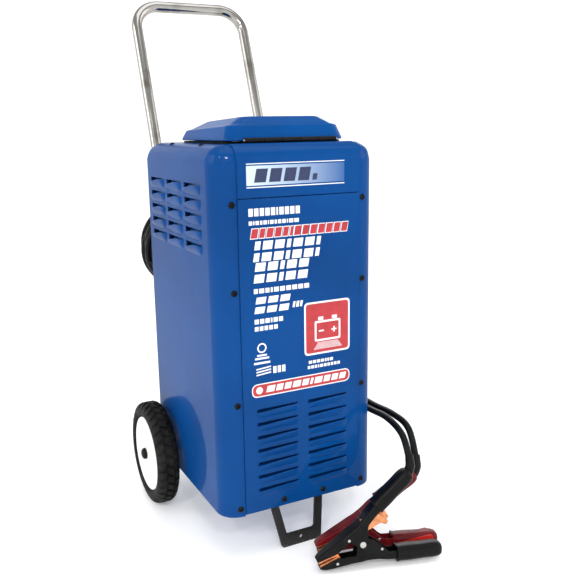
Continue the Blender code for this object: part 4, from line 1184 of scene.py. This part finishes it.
# An end plug's profile as (radius, height above the tube's foot)
PLUG = [
    (0.0110, 0.010), (0.0118, 0.0095), (0.0121, 0.006),
    (0.0118, -0.0008), (0.0100, -0.0028), (0.0004, -0.0032),
]


def handle():
    """One bent tube: up each side, leaning back above the cabinet, and across the top."""
    lean = Vector((0.0, math.sin(HANDLE_LEAN), math.cos(HANDLE_LEAN)))
    bend_start = HANDLE_BEND_Z - LEG_BEND_RADIUS * math.tan(HANDLE_LEAN / 2)
    points = [Vector((HANDLE_HALF, HANDLE_LEG_Y, z)) for z in (HANDLE_FOOT_Z, 0.50)]
    bend_centre = (HANDLE_LEG_Y + LEG_BEND_RADIUS, bend_start)
    for y, z in arc(bend_centre, LEG_BEND_RADIUS, math.pi, math.pi - HANDLE_LEAN, 8):
        points.append(Vector((HANDLE_HALF, y, z)))
    top = Vector((HANDLE_HALF, HANDLE_LEG_Y, HANDLE_BEND_Z))
    top += lean * (HANDLE_TOP_Z - HANDLE_BEND_Z) / math.cos(HANDLE_LEAN)
    for x, up in arc((-GRIP_BEND_RADIUS, -GRIP_BEND_RADIUS), GRIP_BEND_RADIUS, 0.0, math.pi / 2, 16):
        points.append(top + Vector((x, 0.0, 0.0)) + lean * up)
    points += [Vector((-p.x, p.y, p.z)) for p in reversed(points)]
    bm = bmesh.new()
    pipe(bm, points, HANDLE_RADIUS, 32)
    piece("handle", bm, CHROME, replaces=["handle_tube"], crease=60)
    bm = bmesh.new()
    for x in (-HANDLE_HALF, HANDLE_HALF):
        plug = fillet(PLUG, 0.001, closed=False, steps=3)
        lathe(bm, plug, facing((0, 0, 1), (x, HANDLE_LEG_Y, HANDLE_FOOT_Z)), 32)
    piece("handle_plugs", bm, BLACK_PLASTIC, crease=50)


def handle_straps():
    """A flat strap behind the tubes, with a saddle round each and a bolt at each side."""
    front = BACK + 0.0003
    base = front + 0.0026
    inner, outer, wing = HANDLE_RADIUS + 0.0002, HANDLE_RADIUS + 0.0022, 0.0235
    for name, z in (("lower", 0.370), ("upper", 0.622)):
        low, high = z - STRAP_HALF, z + STRAP_HALF
        bm = bmesh.new()
        extrude(bm, rounded_box(-0.139, low, 0.139, high, 0.006, 5), UPRIGHT, front, front + 0.0024)
        for x in (-HANDLE_HALF, HANDLE_HALF):
            middle = (x, HANDLE_LEG_Y)
            band = [(x + wing, base), (x + wing, base + 0.002), (x + outer, base + 0.002)]
            band += arc(middle, outer, 0.0, math.pi, 16)
            band += [(x - outer, base + 0.002), (x - wing, base + 0.002), (x - wing, base), (x - inner, base)]
            band += arc(middle, inner, math.pi, 0.0, 16)
            band.append((x + inner, base))
            extrude(bm, band, Matrix.Identity(4), low + 0.001, high - 0.001)
        replaced = [f"handle_strap_{name}"]
        piece(f"strap_{name}", bm, BLACK_PAINT, replaces=replaced, edge=0.0006)
        bm = bmesh.new()
        for x in (-HANDLE_HALF, HANDLE_HALF):
            for side in (-1, 1):
                hex_bolt(bm, facing((0, 1, 0), (x + side * 0.0182, front + 0.0046, z)), 0.0046, 0.0036)
        piece(f"strap_bolts_{name}", bm, ZINC, edge=0.0003, crease=28)


def hex_bolt(bm, matrix, radius, height):
    """A washer with a six-sided head on it."""
    wide = radius * 1.35
    lathe(bm, [(wide, 0.0), (wide, height * 0.18), (radius * 0.8, height * 0.2)], matrix, 28)
    lathe(bm, [(radius, height * 0.15), (radius, height * 0.85), (radius * 0.82, height)], matrix, 6)


def foot():
    """The flat strap bent to a U, with a bolt hole low in its crossbar."""
    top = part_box("foot_strap")[1].z
    outer_top, outer_bottom, strap, inner_low = 0.0545, 0.0395, 0.0155, 0.0215
    slope = (outer_top - outer_bottom) / top
    inner_top = outer_top - strap
    inner_bottom = inner_top - slope * (top - inner_low)
    outline = [(-outer_top, top), (-outer_bottom, 0.0), (outer_bottom, 0.0), (outer_top, top)]
    outline += [(inner_top, top), (inner_bottom, inner_low), (-inner_bottom, inner_low), (-inner_top, top)]
    lean = (0.030 - FOOT_FRONT) / top
    rings = []
    for depth in (-0.00225, 0.00225):
        middle = FRONT + FOOT_FRONT + depth
        rings.append([Vector((x, middle + lean * z, z)) for x, z in fillet(outline, 0.0045)])
    bm = bmesh.new()
    loft(bm, rings)
    obj = piece("foot", bm, FOOT_PAINT, replaces=["foot_strap"], edge=0.0006)

    def hole(bm):
        lathe(bm, [(0.0036, -0.03), (0.0036, 0.03)], facing((0, 1, 0), (0.0, FRONT + FOOT_FRONT, 0.011)), 24)

    cut(obj, cutter("foot_hole", hole))


def worn_paint():
    """Black paint rubbed through to bright steel near the floor."""
    made = Nodes("foot_paint")
    height = made.add("SeparateXYZ", Vector=made.place).outputs["Z"]
    low_down = made.remap(height, 0.0, 0.030, 0.16, -0.25)
    edge = made.tree.nodes.new("ShaderNodeMath")
    edge.operation = "ADD"
    made.tree.links.new(made.noise(150.0, 6.0), edge.inputs[0])
    made.tree.links.new(low_down, edge.inputs[1])
    worn = made.remap(edge.outputs["Value"], 0.73, 0.78)
    made.join(made.mix(worn, (0.006, 0.006, 0.0065), (0.20, 0.19, 0.18)), "Base Color")
    made.join(worn, "Metallic")
    made.join(made.remap(made.noise(300.0), 0.3, 0.7, 0.36, 0.50), "Roughness")
    made.join(made.bump(made.noise(800.0), 0.00003), "Normal")
    return made.material


FOOT_PAINT = worn_paint()
handle()
handle_straps()
foot()


# ---------------------------------------------------------------- clamps

# How far the outside of an arm stands from the middle line, at places along it, for this half spread
DRAWN_HALF_SPREAD = 0.36
OUTER_LINE = [
    (0.0820, 0.0088), (0.0760, 0.0128), (0.0660, 0.0158), (0.0500, 0.0195),
    (0.0300, 0.0241), (0.0120, 0.0292), (0.0000, 0.0320), (-0.0150, 0.0380),
    (-0.0350, 0.0485), (-0.0600, 0.0579), (-0.0900, 0.0692), (-0.1200, 0.0806),
]
# Half the width of an arm, at places along it
WIDTHS = [
    (0.082, 0.0090), (0.076, 0.0108), (0.060, 0.0120), (0.035, 0.0150),
    (-0.030, 0.0150), (-0.055, 0.0128), (-0.13, 0.0118),
]
LOWER_HALF_WIDTH = 0.0122
SLEEVE_START = -0.047
# The place in OUTER_LINE that the copper tail follows
TAIL_PLACE = 8


def along_table(table, x):
    """A value read from a table that falls in x."""
    for (x0, v0), (x1, v1) in zip(table, table[1:]):
        if x >= x1:
            share = min(1.0, max(0.0, (x0 - x) / (x0 - x1)))
            return v0 + (v1 - v0) * share
    return table[-1][1]


def cheek_line(x, outer, upper):
    """The lower edge of a clamp half's cheeks, with the ear round the pivot."""
    rear = outer - 0.016 if x < 0 else max(0.0046, 0.010 + (0.030 - x) * 0.3143)
    fall = 90.0 if upper or x > 0 else 32.0
    ear = -0.0095 + fall * x * x
    return min(rear, ear, outer - 0.0035)


def outer_line(kind):
    """The outside of an arm in the clamp's own frame, squeezed to fit this clamp's handle angle."""
    squeeze = math.tan(half_spread(kind)) / math.tan(DRAWN_HALF_SPREAD)
    return [(x, 0.0, TIP_HALF + (z - TIP_HALF) * squeeze) for x, z in OUTER_LINE]


def clamp_half(kind, upper):
    """What one half of a clamp is called, the body it rides and the way it faces."""
    return ("upper", "root", 1) if upper else ("lower", f"{kind}_clamp_handle", -1)


def clamp_arm(kind, upper, vinyl):
    """A pressed channel: a web along the outside and cheeks that close round the pivot pin."""
    turn = clamp_frame(kind)
    side, body, flip = clamp_half(kind, upper)
    wall = 0.0018
    rings = []
    for point in smooth_line(outer_line(kind), 0.0042):
        x, outer = point.x, point.z
        half = along_table(WIDTHS, x)
        if not upper:
            half = min(half, LOWER_HALF_WIDTH)
        bottom = cheek_line(x, outer, upper)
        inner = half - wall
        section = [(-half, bottom), (-half, outer), (half, outer), (half, bottom)]
        section += [(inner, bottom), (inner, outer - wall), (-inner, outer - wall), (-inner, bottom)]
        rings.append([turn @ Vector((x, y, z * flip)) for y, z in fillet(section, 0.0040)])
    bm = bmesh.new()
    loft(bm, rings)
    replaced = f"{kind}_clamp_{side}"
    piece(f"{kind}_arm_{side}", bm, vinyl, body=body, replaces=[replaced], crease=45)


def clamp_sleeve(kind, upper, vinyl):
    """A thick soft grip pushed over the back of an arm, with a rolled lip and a rounded end."""
    turn = clamp_frame(kind)
    side, body, flip = clamp_half(kind, upper)
    lean = half_spread(kind)
    way = Vector((-math.cos(lean), 0.0, math.sin(lean)))
    lift = Vector((math.sin(lean), 0.0, math.cos(lean)))
    start = Vector((SLEEVE_START, 0.0, arm_line(kind, SLEEVE_START) - 0.0080))
    stops = [(0.0, 0.80), (0.0, 0.98), (0.0010, 1.06), (0.0030, 1.06), (0.0045, 1.0)]
    stops += [(0.010 + 0.006 * i, 1.0 + 0.020 * math.sin(i * 0.75)) for i in range(10)]
    stops += [(0.0700, 0.99), (0.0745, 0.95), (0.0785, 0.86), (0.0810, 0.74), (0.0825, 0.58), (0.0830, 0.40)]
    rings = []
    for distance, scale in stops:
        ring = []
        for c, s in circle(1.0, 36):
            u = 0.0158 * math.copysign(abs(c) ** 0.62, c)
            v = 0.0130 * math.copysign(abs(s) ** 0.72, s)
            point = start + way * distance + Vector((0, 1, 0)) * u * scale + lift * v * scale
            ring.append(turn @ Vector((point.x, point.y, point.z * flip)))
        rings.append(ring)
    bm = bmesh.new()
    loft(bm, rings)
    return piece(f"{kind}_sleeve_{side}", bm, vinyl, body=body, crease=50)


def side_plate(bm, turn, outline, low, high, flip=1):
    """A flat plate along a clamp, made solid from low to high across it."""
    loft(bm, [[turn @ Vector((x, y, z * flip)) for x, z in outline] for y in (low, high)])


def copper_jaw(kind, upper):
    """A toothed copper plate inside the jaw, with a side wall each side and a rivet through it."""
    turn = clamp_frame(kind)
    side, body, flip = clamp_half(kind, upper)
    x0, x1 = 0.043, 0.0805
    outline = [(x0, 0.0096), (x1 - 0.003, 0.0072), (x1, 0.0056), (x1, 0.0010)]
    teeth = 11
    pitch = (x1 - x0 - 0.004) / teeth
    for i in range(teeth):
        x = x1 - i * pitch
        outline += [(x - pitch * 0.5, 0.0026), (x - pitch, 0.0008)]
    outline.append((x0, 0.0050))
    bm = bmesh.new()
    for low, high in ((-0.0088, -0.0076), (0.0076, 0.0088)):
        side_plate(bm, turn, outline, low, high, flip)
    plate = [*outline[:3], (x1, 0.0040), (x1 - 0.004, 0.0058), (x0, 0.0082)]
    side_plate(bm, turn, plate, -0.0078, 0.0078, flip)
    rivet = [(0.0032, 0.0), (0.0030, 0.0008), (0.0018, 0.0014), (0.0004, 0.0016)]
    lathe(bm, rivet, turn @ facing((0, 0, -flip), (0.062, 0.0, 0.0066 * flip)), 20)
    replaced = [f"{kind}_jaw"] if upper else []
    piece(f"{kind}_jaw_{side}", bm, COPPER, body=body, replaces=replaced, edge=0.0003)


def dome(bm, matrix, radius, height):
    rings = [(radius * math.cos(a), height * math.sin(a)) for a in (math.pi / 2 * i / 6 for i in range(6))]
    lathe(bm, [(radius, -0.0008), *rings, (0.0003, height)], matrix, 24)


def clamp_pivot(kind):
    """The pivot pin with its washers and peened heads, and the rivets beside it on both halves."""
    turn = clamp_frame(kind)
    bm = bmesh.new()
    lathe(bm, [(0.0030, -0.0155), (0.0030, 0.0155)], turn @ facing((0, 1, 0)), 20)
    for side in (-1, 1):
        washer = [(0.0052, 0.0), (0.0052, 0.0007), (0.0034, 0.0008)]
        lathe(bm, washer, turn @ facing((0, side, 0), (0, side * 0.0151, 0)), 28)
        dome(bm, turn @ facing((0, side, 0), (0, side * 0.0157, 0)), 0.0036, 0.0018)
        rivet = (0.019, side * along_table(WIDTHS, 0.019), 0.017)
        dome(bm, turn @ facing((0, side, 0), rivet), 0.0026, 0.0012)
    piece(f"{kind}_pivot", bm, ZINC, replaces=[f"{kind}_clamp_pin"], crease=50)
    bm = bmesh.new()
    for side in (-1, 1):
        for x, z in ((-0.0275, -0.0235), (0.052, -0.0115)):
            half = min(along_table(WIDTHS, x), LOWER_HALF_WIDTH)
            dome(bm, turn @ facing((0, side, 0), (x, side * half, z)), 0.0024, 0.0011)
    piece(f"{kind}_lower_rivets", bm, ZINC, body=f"{kind}_clamp_handle", crease=50)


def clamp_spring(kind):
    """A wound spring on the pivot, with one leg in each half."""
    turn = clamp_frame(kind)
    steps = 100
    path = [(-0.026, -0.0072, 0.0330), (-0.016, -0.0072, 0.0200), (-0.0075, -0.0072, 0.0060)]
    for i in range(steps + 1):
        angle = math.radians(140) - math.tau * i / 20
        path.append((0.0066 * math.cos(angle), -0.0072 + 0.0144 * i / steps, 0.0066 * math.sin(angle)))
    path += [(-0.0075, 0.0072, -0.0060), (-0.016, 0.0072, -0.0200), (-0.026, 0.0072, -0.0320)]
    bm = bmesh.new()
    pipe(bm, [turn @ Vector(p) for p in path], 0.0012, 10)
    name = f"{kind}_spring"
    spring = add_object(name, data_of(name, bm), STEEL)
    spring.data.shade_smooth()
    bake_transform(spring)
    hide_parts(f"{kind}_clamp_spring")


def copper_tail(kind):
    """The copper tail that shows behind the pivot: a plate each side with a web between them."""
    turn = clamp_frame(kind)
    shift = outer_line(kind)[TAIL_PLACE][2] - OUTER_LINE[TAIL_PLACE][1]
    tab = [(0.004, 0.0180), (-0.013, 0.0165), (-0.030, 0.0165), (-0.043, 0.0190), (-0.0500, 0.0115)]
    tab += [(-0.0565, 0.0140), (-0.0540, 0.0250), (-0.040, 0.0400), (-0.012, 0.0300), (0.004, 0.026)]
    outline = fillet([(x, z + shift) for x, z in tab], 0.0042, steps=5)
    bm = bmesh.new()
    for low, high in ((-0.0092, -0.0076), (0.0076, 0.0092)):
        side_plate(bm, turn, outline, low, high)
    block(bm, (-0.038, -0.0080, 0.0372 + shift), (-0.012, 0.0080, 0.0386 + shift), turn)
    piece(f"{kind}_copper_tail", bm, COPPER, edge=0.0004)


def lit_grip_panels():
    """A lighter red panel on each side of the red clamp's lower grip: painted light, a lit copy of the red
    vinyl.
    """
    near, far = -0.052, -0.118
    corners = [(near, 0.0065), (far, 0.0060), (far, 0.0180), (far + 0.004, 0.0195), (near, 0.0085)]
    outline = fillet([(x, above - arm_line("positive", x)) for x, above in corners], 0.0015, steps=3)
    bm = bmesh.new()
    for side in (-1, 1):
        side_plate(bm, clamp_frame("positive"), outline, *sorted((side * 0.0146, side * 0.0163)))
    piece("lit_grip_panels", bm, LIT_RED_VINYL, body="positive_clamp_handle", edge=0.0004)


def clamp(kind, vinyl):
    """Both halves of a clamp and its metal parts; gives back the sleeve that rides with the lead."""
    halves = (True, False)
    for upper in halves:
        clamp_arm(kind, upper, vinyl)
    sleeves = [clamp_sleeve(kind, upper, vinyl) for upper in halves]
    for upper in halves:
        copper_jaw(kind, upper)
    clamp_pivot(kind)
    clamp_spring(kind)
    copper_tail(kind)
    return sleeves[0]


for kind, vinyl, slot in (("positive", SHADED_RED_VINYL, "red_grip"), ("negative", BLACK_VINYL, "black_grip")):
    sleeve = clamp(kind, vinyl)


lit_grip_panels()


# ---------------------------------------------------------------- back: glands, hanger, ties, inlet


def glands():
    """Two strain reliefs, each with a flange, a six-sided nut and a ribbed cap."""
    body = [(0.0063, -0.012), (0.0088, -0.012), (0.0088, 0.0003), (0.0135, 0.0003), (0.0135, 0.0030)]
    body += [(0.0115, 0.0040), (0.0115, 0.0100), (0.0108, 0.0110), (0.0102, 0.0160), (0.0086, 0.0205)]
    body += [(0.0072, 0.0220), (0.0063, 0.0220)]
    for kind, at in GLAND_AT.items():
        turn = facing((0, 1, 0), at)
        bm = bmesh.new()
        lathe(bm, fillet(body, 0.0008, steps=3), turn, 48, closed=True)
        lathe(bm, [(0.0150, 0.0030), (0.0150, 0.0080), (0.0140, 0.0090), (0.0110, 0.0090)], turn, 6)
        for i in range(16):
            rib = turn @ Matrix.Rotation(math.tau * i / 16, 4, "Z")
            block(bm, (0.0100, -0.0006, 0.0092), (0.0122, 0.0006, 0.0150), rib)
        name = f"{kind}_cable_gland"
        piece(name, bm, BLACK_PLASTIC, replaces=[f"{kind}_gland"], edge=0.0003)


def hanger():
    """A peg with an upturned end on a round foot, and two ties round the coils that hang on it."""
    low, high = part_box("cable_hanger")
    x = (low.x + high.x) / 2
    rod = 0.0043
    bend = 0.012
    peg = low.z + 0.0045
    end = high.y - 0.0045
    path = [(x, BACK + 0.0003, peg), (x, BACK + 0.02, peg), (x, end - bend, peg)]
    path += [(x, y, z) for y, z in arc((end - bend, peg + bend), bend, -math.pi / 2, 0.0, 8)[1:]]
    path += [(x, end, peg + 0.020), (x, end, peg + 0.026)]
    base = [(0.0130, 0.0003), (0.0130, 0.0020), (0.0060, 0.0032), (rod, 0.0060)]
    bm = bmesh.new()
    pipe(bm, path, rod, 20)
    lathe(bm, fillet(base, 0.001, closed=False, steps=3), facing((0, 1, 0), (x, BACK, peg)), 36)
    dome(bm, facing((0, 0, 1), (x, end, peg + 0.0255)), 0.0045, 0.0042)
    piece("hanger", bm, BLACK_VINYL, replaces=["cable_hanger"], crease=50)
    bm = bmesh.new()
    wide = 0.0075
    ring = rounded_box(-0.0148, -0.0275, 0.0148, 0.0275, 0.009, 6)
    inner = [(u * 0.915, v * 0.955) for u, v in ring]
    for angle in (math.radians(205), math.radians(-38)):
        out = Vector((math.cos(angle), 0.0, math.sin(angle)))
        centre = COIL_CENTRE + out * 0.062 + Vector((0, sum(COIL_Y.values()) / 2, 0))
        along = Vector((-out.z, 0.0, out.x))
        rings = []
        for outline, offset in ((ring, -wide), (ring, wide), (inner, wide), (inner, -wide)):
            rings.append([centre + out * u + Vector((0, v, 0)) + along * offset for u, v in outline])
        loft(bm, rings, wrap=True)
    piece("coil_ties", bm, BLACK_VINYL, crease=50)


def inlet():
    """A round panel connector for the supply lead, with three blades in its well."""
    at = Vector((0.085, BACK, 0.140))
    turn = facing((0, 1, 0), at)
    bm = bmesh.new()
    body = [(0.0, -0.010), (0.0088, -0.010), (0.0088, 0.0003), (0.0136, 0.0003), (0.0136, 0.0070)]
    body += [(0.0120, 0.0085), (0.0118, 0.0210), (0.0108, 0.0216), (0.0098, 0.0210), (0.0096, 0.0040)]
    body.append((0.0, 0.0040))
    lathe(bm, [(max(r, 0.0004), h) for r, h in fillet(body, 0.0008, closed=False, steps=3)], turn, 48)
    for i in range(20):
        rib = turn @ Matrix.Rotation(math.tau * i / 20, 4, "Z")
        block(bm, (0.0115, -0.0005, 0.0095), (0.0126, 0.0005, 0.0195), rib)
    piece("supply_inlet", bm, BLACK_PLASTIC, replaces=["power_inlet"], edge=0.0002)
    bm = bmesh.new()
    for x, y, wide in ((-0.0040, -0.0020, 0.0030), (0.0040, -0.0020, 0.0030), (0.0, 0.0045, 0.0022)):
        block(bm, (x - 0.0008, y - wide / 2, 0.0035), (x + 0.0008, y + wide / 2, 0.0160), turn)
    piece("inlet_blades", bm, ZINC, edge=0.0002)


def back_details():
    """The painted back and base, the back's screws and a blank rating plate."""
    dress("back_panel", BLUE, 0.0004)
    dress("base_plate", BLUE, 0.0004)
    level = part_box("back_panel")[1].y
    bm = bmesh.new()
    for z in (0.097, 0.300, 0.520, 0.6745):
        for x in (-0.1385, 0.0, 0.1385):
            if abs(x) < 0.1 and z in (0.300, 0.520):
                continue
            screw_head(bm, facing((0, 1, 0), (x * 0.975, level, z)), 0.0034, 0.0018)
    piece("back_screws", bm, BLACK_PAINT, crease=50)
    bm = bmesh.new()
    extrude(bm, rounded_box(-0.055, 0.262, 0.020, 0.302, 0.003), UPRIGHT, level + 0.0001, level + 0.0007)
    piece("rating_plate", bm, ALUMINIUM, edge=0.0002)


glands()
hanger()
inlet()
back_details()


# ---------------------------------------------------------------- controls under the hood

PANEL_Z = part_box("control_panel")[1].z
TIMER = Vector((-0.044, -0.1511, PANEL_Z))
AMMETER = Vector((0.044, -0.1511, PANEL_Z))
VOLTAGE = Vector((0.052, -0.0571, PANEL_Z))
RATE = Vector((-0.052, -0.0571, PANEL_Z))
ROCKER = Vector((0.0, -0.0471, PANEL_Z))
BREAKER = Vector((0.0, -0.0871, PANEL_Z))


def knob(name, node, body, centre, radius, height):
    """A knob with a flared skirt, a fluted grip and a raised pointer."""
    # Each level's share of the radius, its height and how deep its flutes are
    levels = [(1.0, 0.0006, 0), (1.0, 0.0020, 0), (0.93, 0.0034, 0), (0.80, 0.0046, 0), (0.72, 0.0060, 1)]
    levels += [(0.70, height * 0.6, 1), (0.68, height - 0.0018, 1), (0.63, height - 0.0004, 0.4)]
    levels += [(0.55, height, 0), (0.30, height - 0.0007, 0), (0.0006 / radius, height - 0.0010, 0)]
    rings = []
    for share, level, flutes in levels:
        ring = []
        for x, y in circle(1.0, 144):
            out = radius * share - flutes * 0.0006 * abs(math.sin(12 * math.atan2(y, x))) ** 0.6
            ring.append(centre + Vector((out * x, out * y, level)))
        rings.append(ring)
    bm = bmesh.new()
    loft(bm, rings)
    piece(name, bm, BLACK_PLASTIC, body=body, replaces=[node], crease=50)
    bm = bmesh.new()
    spot = Matrix.Translation(centre)
    block(bm, (-0.0007, radius * 0.12, height - 0.0009), (0.0007, radius * 0.60, height + 0.0002), spot)
    block(bm, (-0.0007, radius * 0.80, 0.0030), (0.0007, radius * 0.97, 0.0041), spot)
    piece(f"{name}_pointer", bm, WHITE_INK, body=body, edge=0.0001)


def tick(bm, centre, degrees, near, far, width):
    """One flat mark that points away from a centre."""
    way = Vector((math.cos(math.radians(degrees)), math.sin(math.radians(degrees)), 0))
    side = Vector((-way.y, way.x, 0)) * width / 2
    corners = (way * near - side, way * far - side, way * far + side, way * near + side)
    bm.faces.new([bm.verts.new(centre + corner) for corner in corners])


def dial_marks():
    """Printed ticks round each knob and a plain line under each group."""
    bm = bmesh.new()
    lift = Vector((0, 0, 0.00015))
    for i in range(26):
        far, width = (0.0255, 0.0009) if i % 5 == 0 else (0.0236, 0.0005)
        tick(bm, TIMER + lift, 90 - 12 * i, 0.0215, far, width)
    for centre, count in ((VOLTAGE, 4), (RATE, 5)):
        for i in range(count):
            tick(bm, centre + lift, 90 - 30 * i, 0.0165, 0.0200, 0.0010)
    for x0, x1 in ((-0.0760, -0.0280), (0.0280, 0.0760), (-0.0120, 0.0120)):
        corners = ((x0, -0.0315), (x1, -0.0315), (x1, -0.0305), (x0, -0.0305))
        bm.faces.new([bm.verts.new((x, y, PANEL_Z + lift.z)) for x, y in corners])
    piece("control_print", bm, WHITE_INK, crease=30)


def ammeter_face():
    """The card behind the needle, with a scale arc and ticks."""
    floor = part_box("ammeter_case")[0].z + 0.0026
    bm = bmesh.new()
    place = Matrix.Translation((AMMETER.x, AMMETER.y, floor))
    block(bm, (-0.0306, -0.0226, 0.0), (0.0306, 0.0226, 0.0003), place)
    piece("ammeter_card", bm, CARD, edge=0.0001)
    bm = bmesh.new()
    pivot = Vector((AMMETER.x, AMMETER.y + 0.014, floor + 0.0004))
    start, ticks = 225, 30
    for i in range(ticks + 1):
        far, width = (0.0345, 0.0010) if i % 5 == 0 else (0.0328, 0.0005)
        tick(bm, pivot, start + 3 * i, 0.0312, far, width)
    lines = []
    for radius in (0.0308, 0.0312):
        line = arc(pivot, radius, math.radians(start), math.radians(start + 3 * ticks), ticks)
        lines.append([bm.verts.new((x, y, pivot.z)) for x, y in line])
    grid_faces(bm, lines)
    piece("ammeter_scale", bm, BLACK_PLASTIC, crease=30)


def glass():
    """Clear moulded plastic with the faintest haze."""
    made = Nodes("clear_lens")
    made.join(made.remap(made.noise(90.0), 0.3, 0.7, 0.02, 0.06), "Roughness")
    made.join(made.mix(made.noise(40.0), (0.96, 0.98, 0.98), (1.0, 1.0, 1.0)), "Base Color")
    made.fix(Transmission_Weight=1.0, IOR=1.47)
    return made.material


CARD = material(
    "meter_card", (0.86, 0.84, 0.78), (0.80, 0.78, 0.71), 0.6, patch=80.0, grain=1500.0, depth=0.00001
)
LENS = glass()
knob("timer_grip", "timer_knob", "timer_dial", TIMER, 0.0200, 0.0171)
knob("voltage_grip", "voltage_knob", "voltage_dial", VOLTAGE, 0.0150, 0.0156)
knob("rate_grip", "rate_knob", "rate_dial", RATE, 0.0150, 0.0156)
dial_marks()
ammeter_face()
dress("control_panel", BLACK_PAINT, 0.0005)
dress("ammeter_case", BLACK_PLASTIC, 0.0006)
dress("ammeter_lens", LENS, 0.0)
dress("ammeter_needle", RED_PLASTIC, 0.0)
dress("power_rocker", RED_PLASTIC, 0.0006)
dress("breaker_button", RED_PLASTIC, 0.0006)


def panel_trim():
    """A bezel round the rocker, a ribbed nut round the breaker and the panel's corner screws."""
    bm = bmesh.new()
    outer = rounded_box(-0.0105, -0.0150, 0.0105, 0.0150, 0.002)
    inner = [(x * 0.0078 / 0.0105, y * 0.0122 / 0.0150) for x, y in outer]
    rings = []
    for outline, level in ((outer, 0.0002), (outer, 0.0022), (inner, 0.0030), (inner, 0.0002)):
        rings.append([ROCKER + Vector((x, y, level)) for x, y in outline])
    loft(bm, rings, wrap=True)
    nut = [(0.0043, 0.0002), (0.0082, 0.0002), (0.0082, 0.0028), (0.0072, 0.0036), (0.0043, 0.0036)]
    lathe(bm, nut, Matrix.Translation(BREAKER), 12, closed=True)
    piece("control_trim", bm, BLACK_PLASTIC, edge=0.0003, crease=25)
    bm = bmesh.new()
    for x in (-0.083, 0.083):
        for y in (-0.187, -0.101, -0.014):
            screw_head(bm, Matrix.Translation((x, y, PANEL_Z)), 0.0030, 0.0016)
    piece("control_screws", bm, ZINC, crease=50)


panel_trim()


# ---------------------------------------------------------------- inside the cabinet


def fan():
    """Five curved blades on a hub, in the fan's own body."""
    centre = Vector((0.0, -0.2261, 0.200))
    turn = facing((0, -1, 0), centre)
    bm = bmesh.new()
    hub = [(0.0030, -0.0058), (0.0115, -0.0058), (0.0120, -0.0045)]
    hub += [(0.0120, 0.0040), (0.0105, 0.0058), (0.0030, 0.0058)]
    lathe(bm, hub, turn, 40, closed=True)
    blades, lengths, widths, half_depth = 5, 8, 6, 0.0085
    for k in range(blades):
        faces = []
        for face in (-0.0007, 0.0007):
            rows = []
            for i in range(lengths + 1):
                along = i / lengths
                out = 0.010 + 0.054 * along
                row = []
                for j in range(widths + 1):
                    share = j / widths - 0.5
                    angle = math.tau * k / blades + share * (0.62 - 0.05 * along) + 0.10 * along
                    level = -0.0145 * share + 0.003 * math.cos(math.pi * share) - 0.002 + face
                    level = max(-half_depth, min(half_depth, level))
                    reach = out * 0.92 if i == lengths and j in (0, widths) else out
                    place = Vector((reach * math.cos(angle), reach * math.sin(angle), level))
                    row.append(bm.verts.new(turn @ place))
                rows.append(row)
            grid_faces(bm, rows)
            faces.append(rows)
        join_rims(bm, *faces)
    replaced = ["fan_blade"]
    piece("fan_blades", bm, BLACK_PLASTIC, body="fan", replaces=replaced, crease=50)


def power_parts():
    dress("transformer_core", LAMINATIONS, 0.0005)
    dress("primary_winding", WINDING, 0.0010)
    dress("secondary_winding", WINDING, 0.0010)
    dress("rectifier_heatsink", ALUMINIUM, 0.0003)
    dress("fan_motor", STEEL, 0.0008)
    low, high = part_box("transformer_core")
    bm = bmesh.new()
    for x in (low.x + 0.010, high.x - 0.010):
        for z in (low.z + 0.012, high.z - 0.012):
            hex_bolt(bm, facing((0, -1, 0), (x, low.y, z)), 0.0055, 0.0045)
            hex_bolt(bm, facing((0, 1, 0), (x, high.y, z)), 0.0055, 0.0045)
    piece("core_bolts", bm, ZINC, edge=0.0003, crease=28)
    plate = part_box("rectifier_heatsink")[1].y - 0.0085
    bm = bmesh.new()
    for x in (-0.0525, -0.0075, 0.0375):
        spot = facing((0, -1, 0), (x, plate, 0.520))
        hex_bolt(bm, spot, 0.0056, 0.0060)
        lathe(bm, [(0.0042, 0.0060), (0.0042, 0.0160), (0.0020, 0.0170), (0.0012, 0.0230)], spot, 20)
    piece("diodes", bm, ZINC, edge=0.0003, crease=28)


fan()
power_parts()
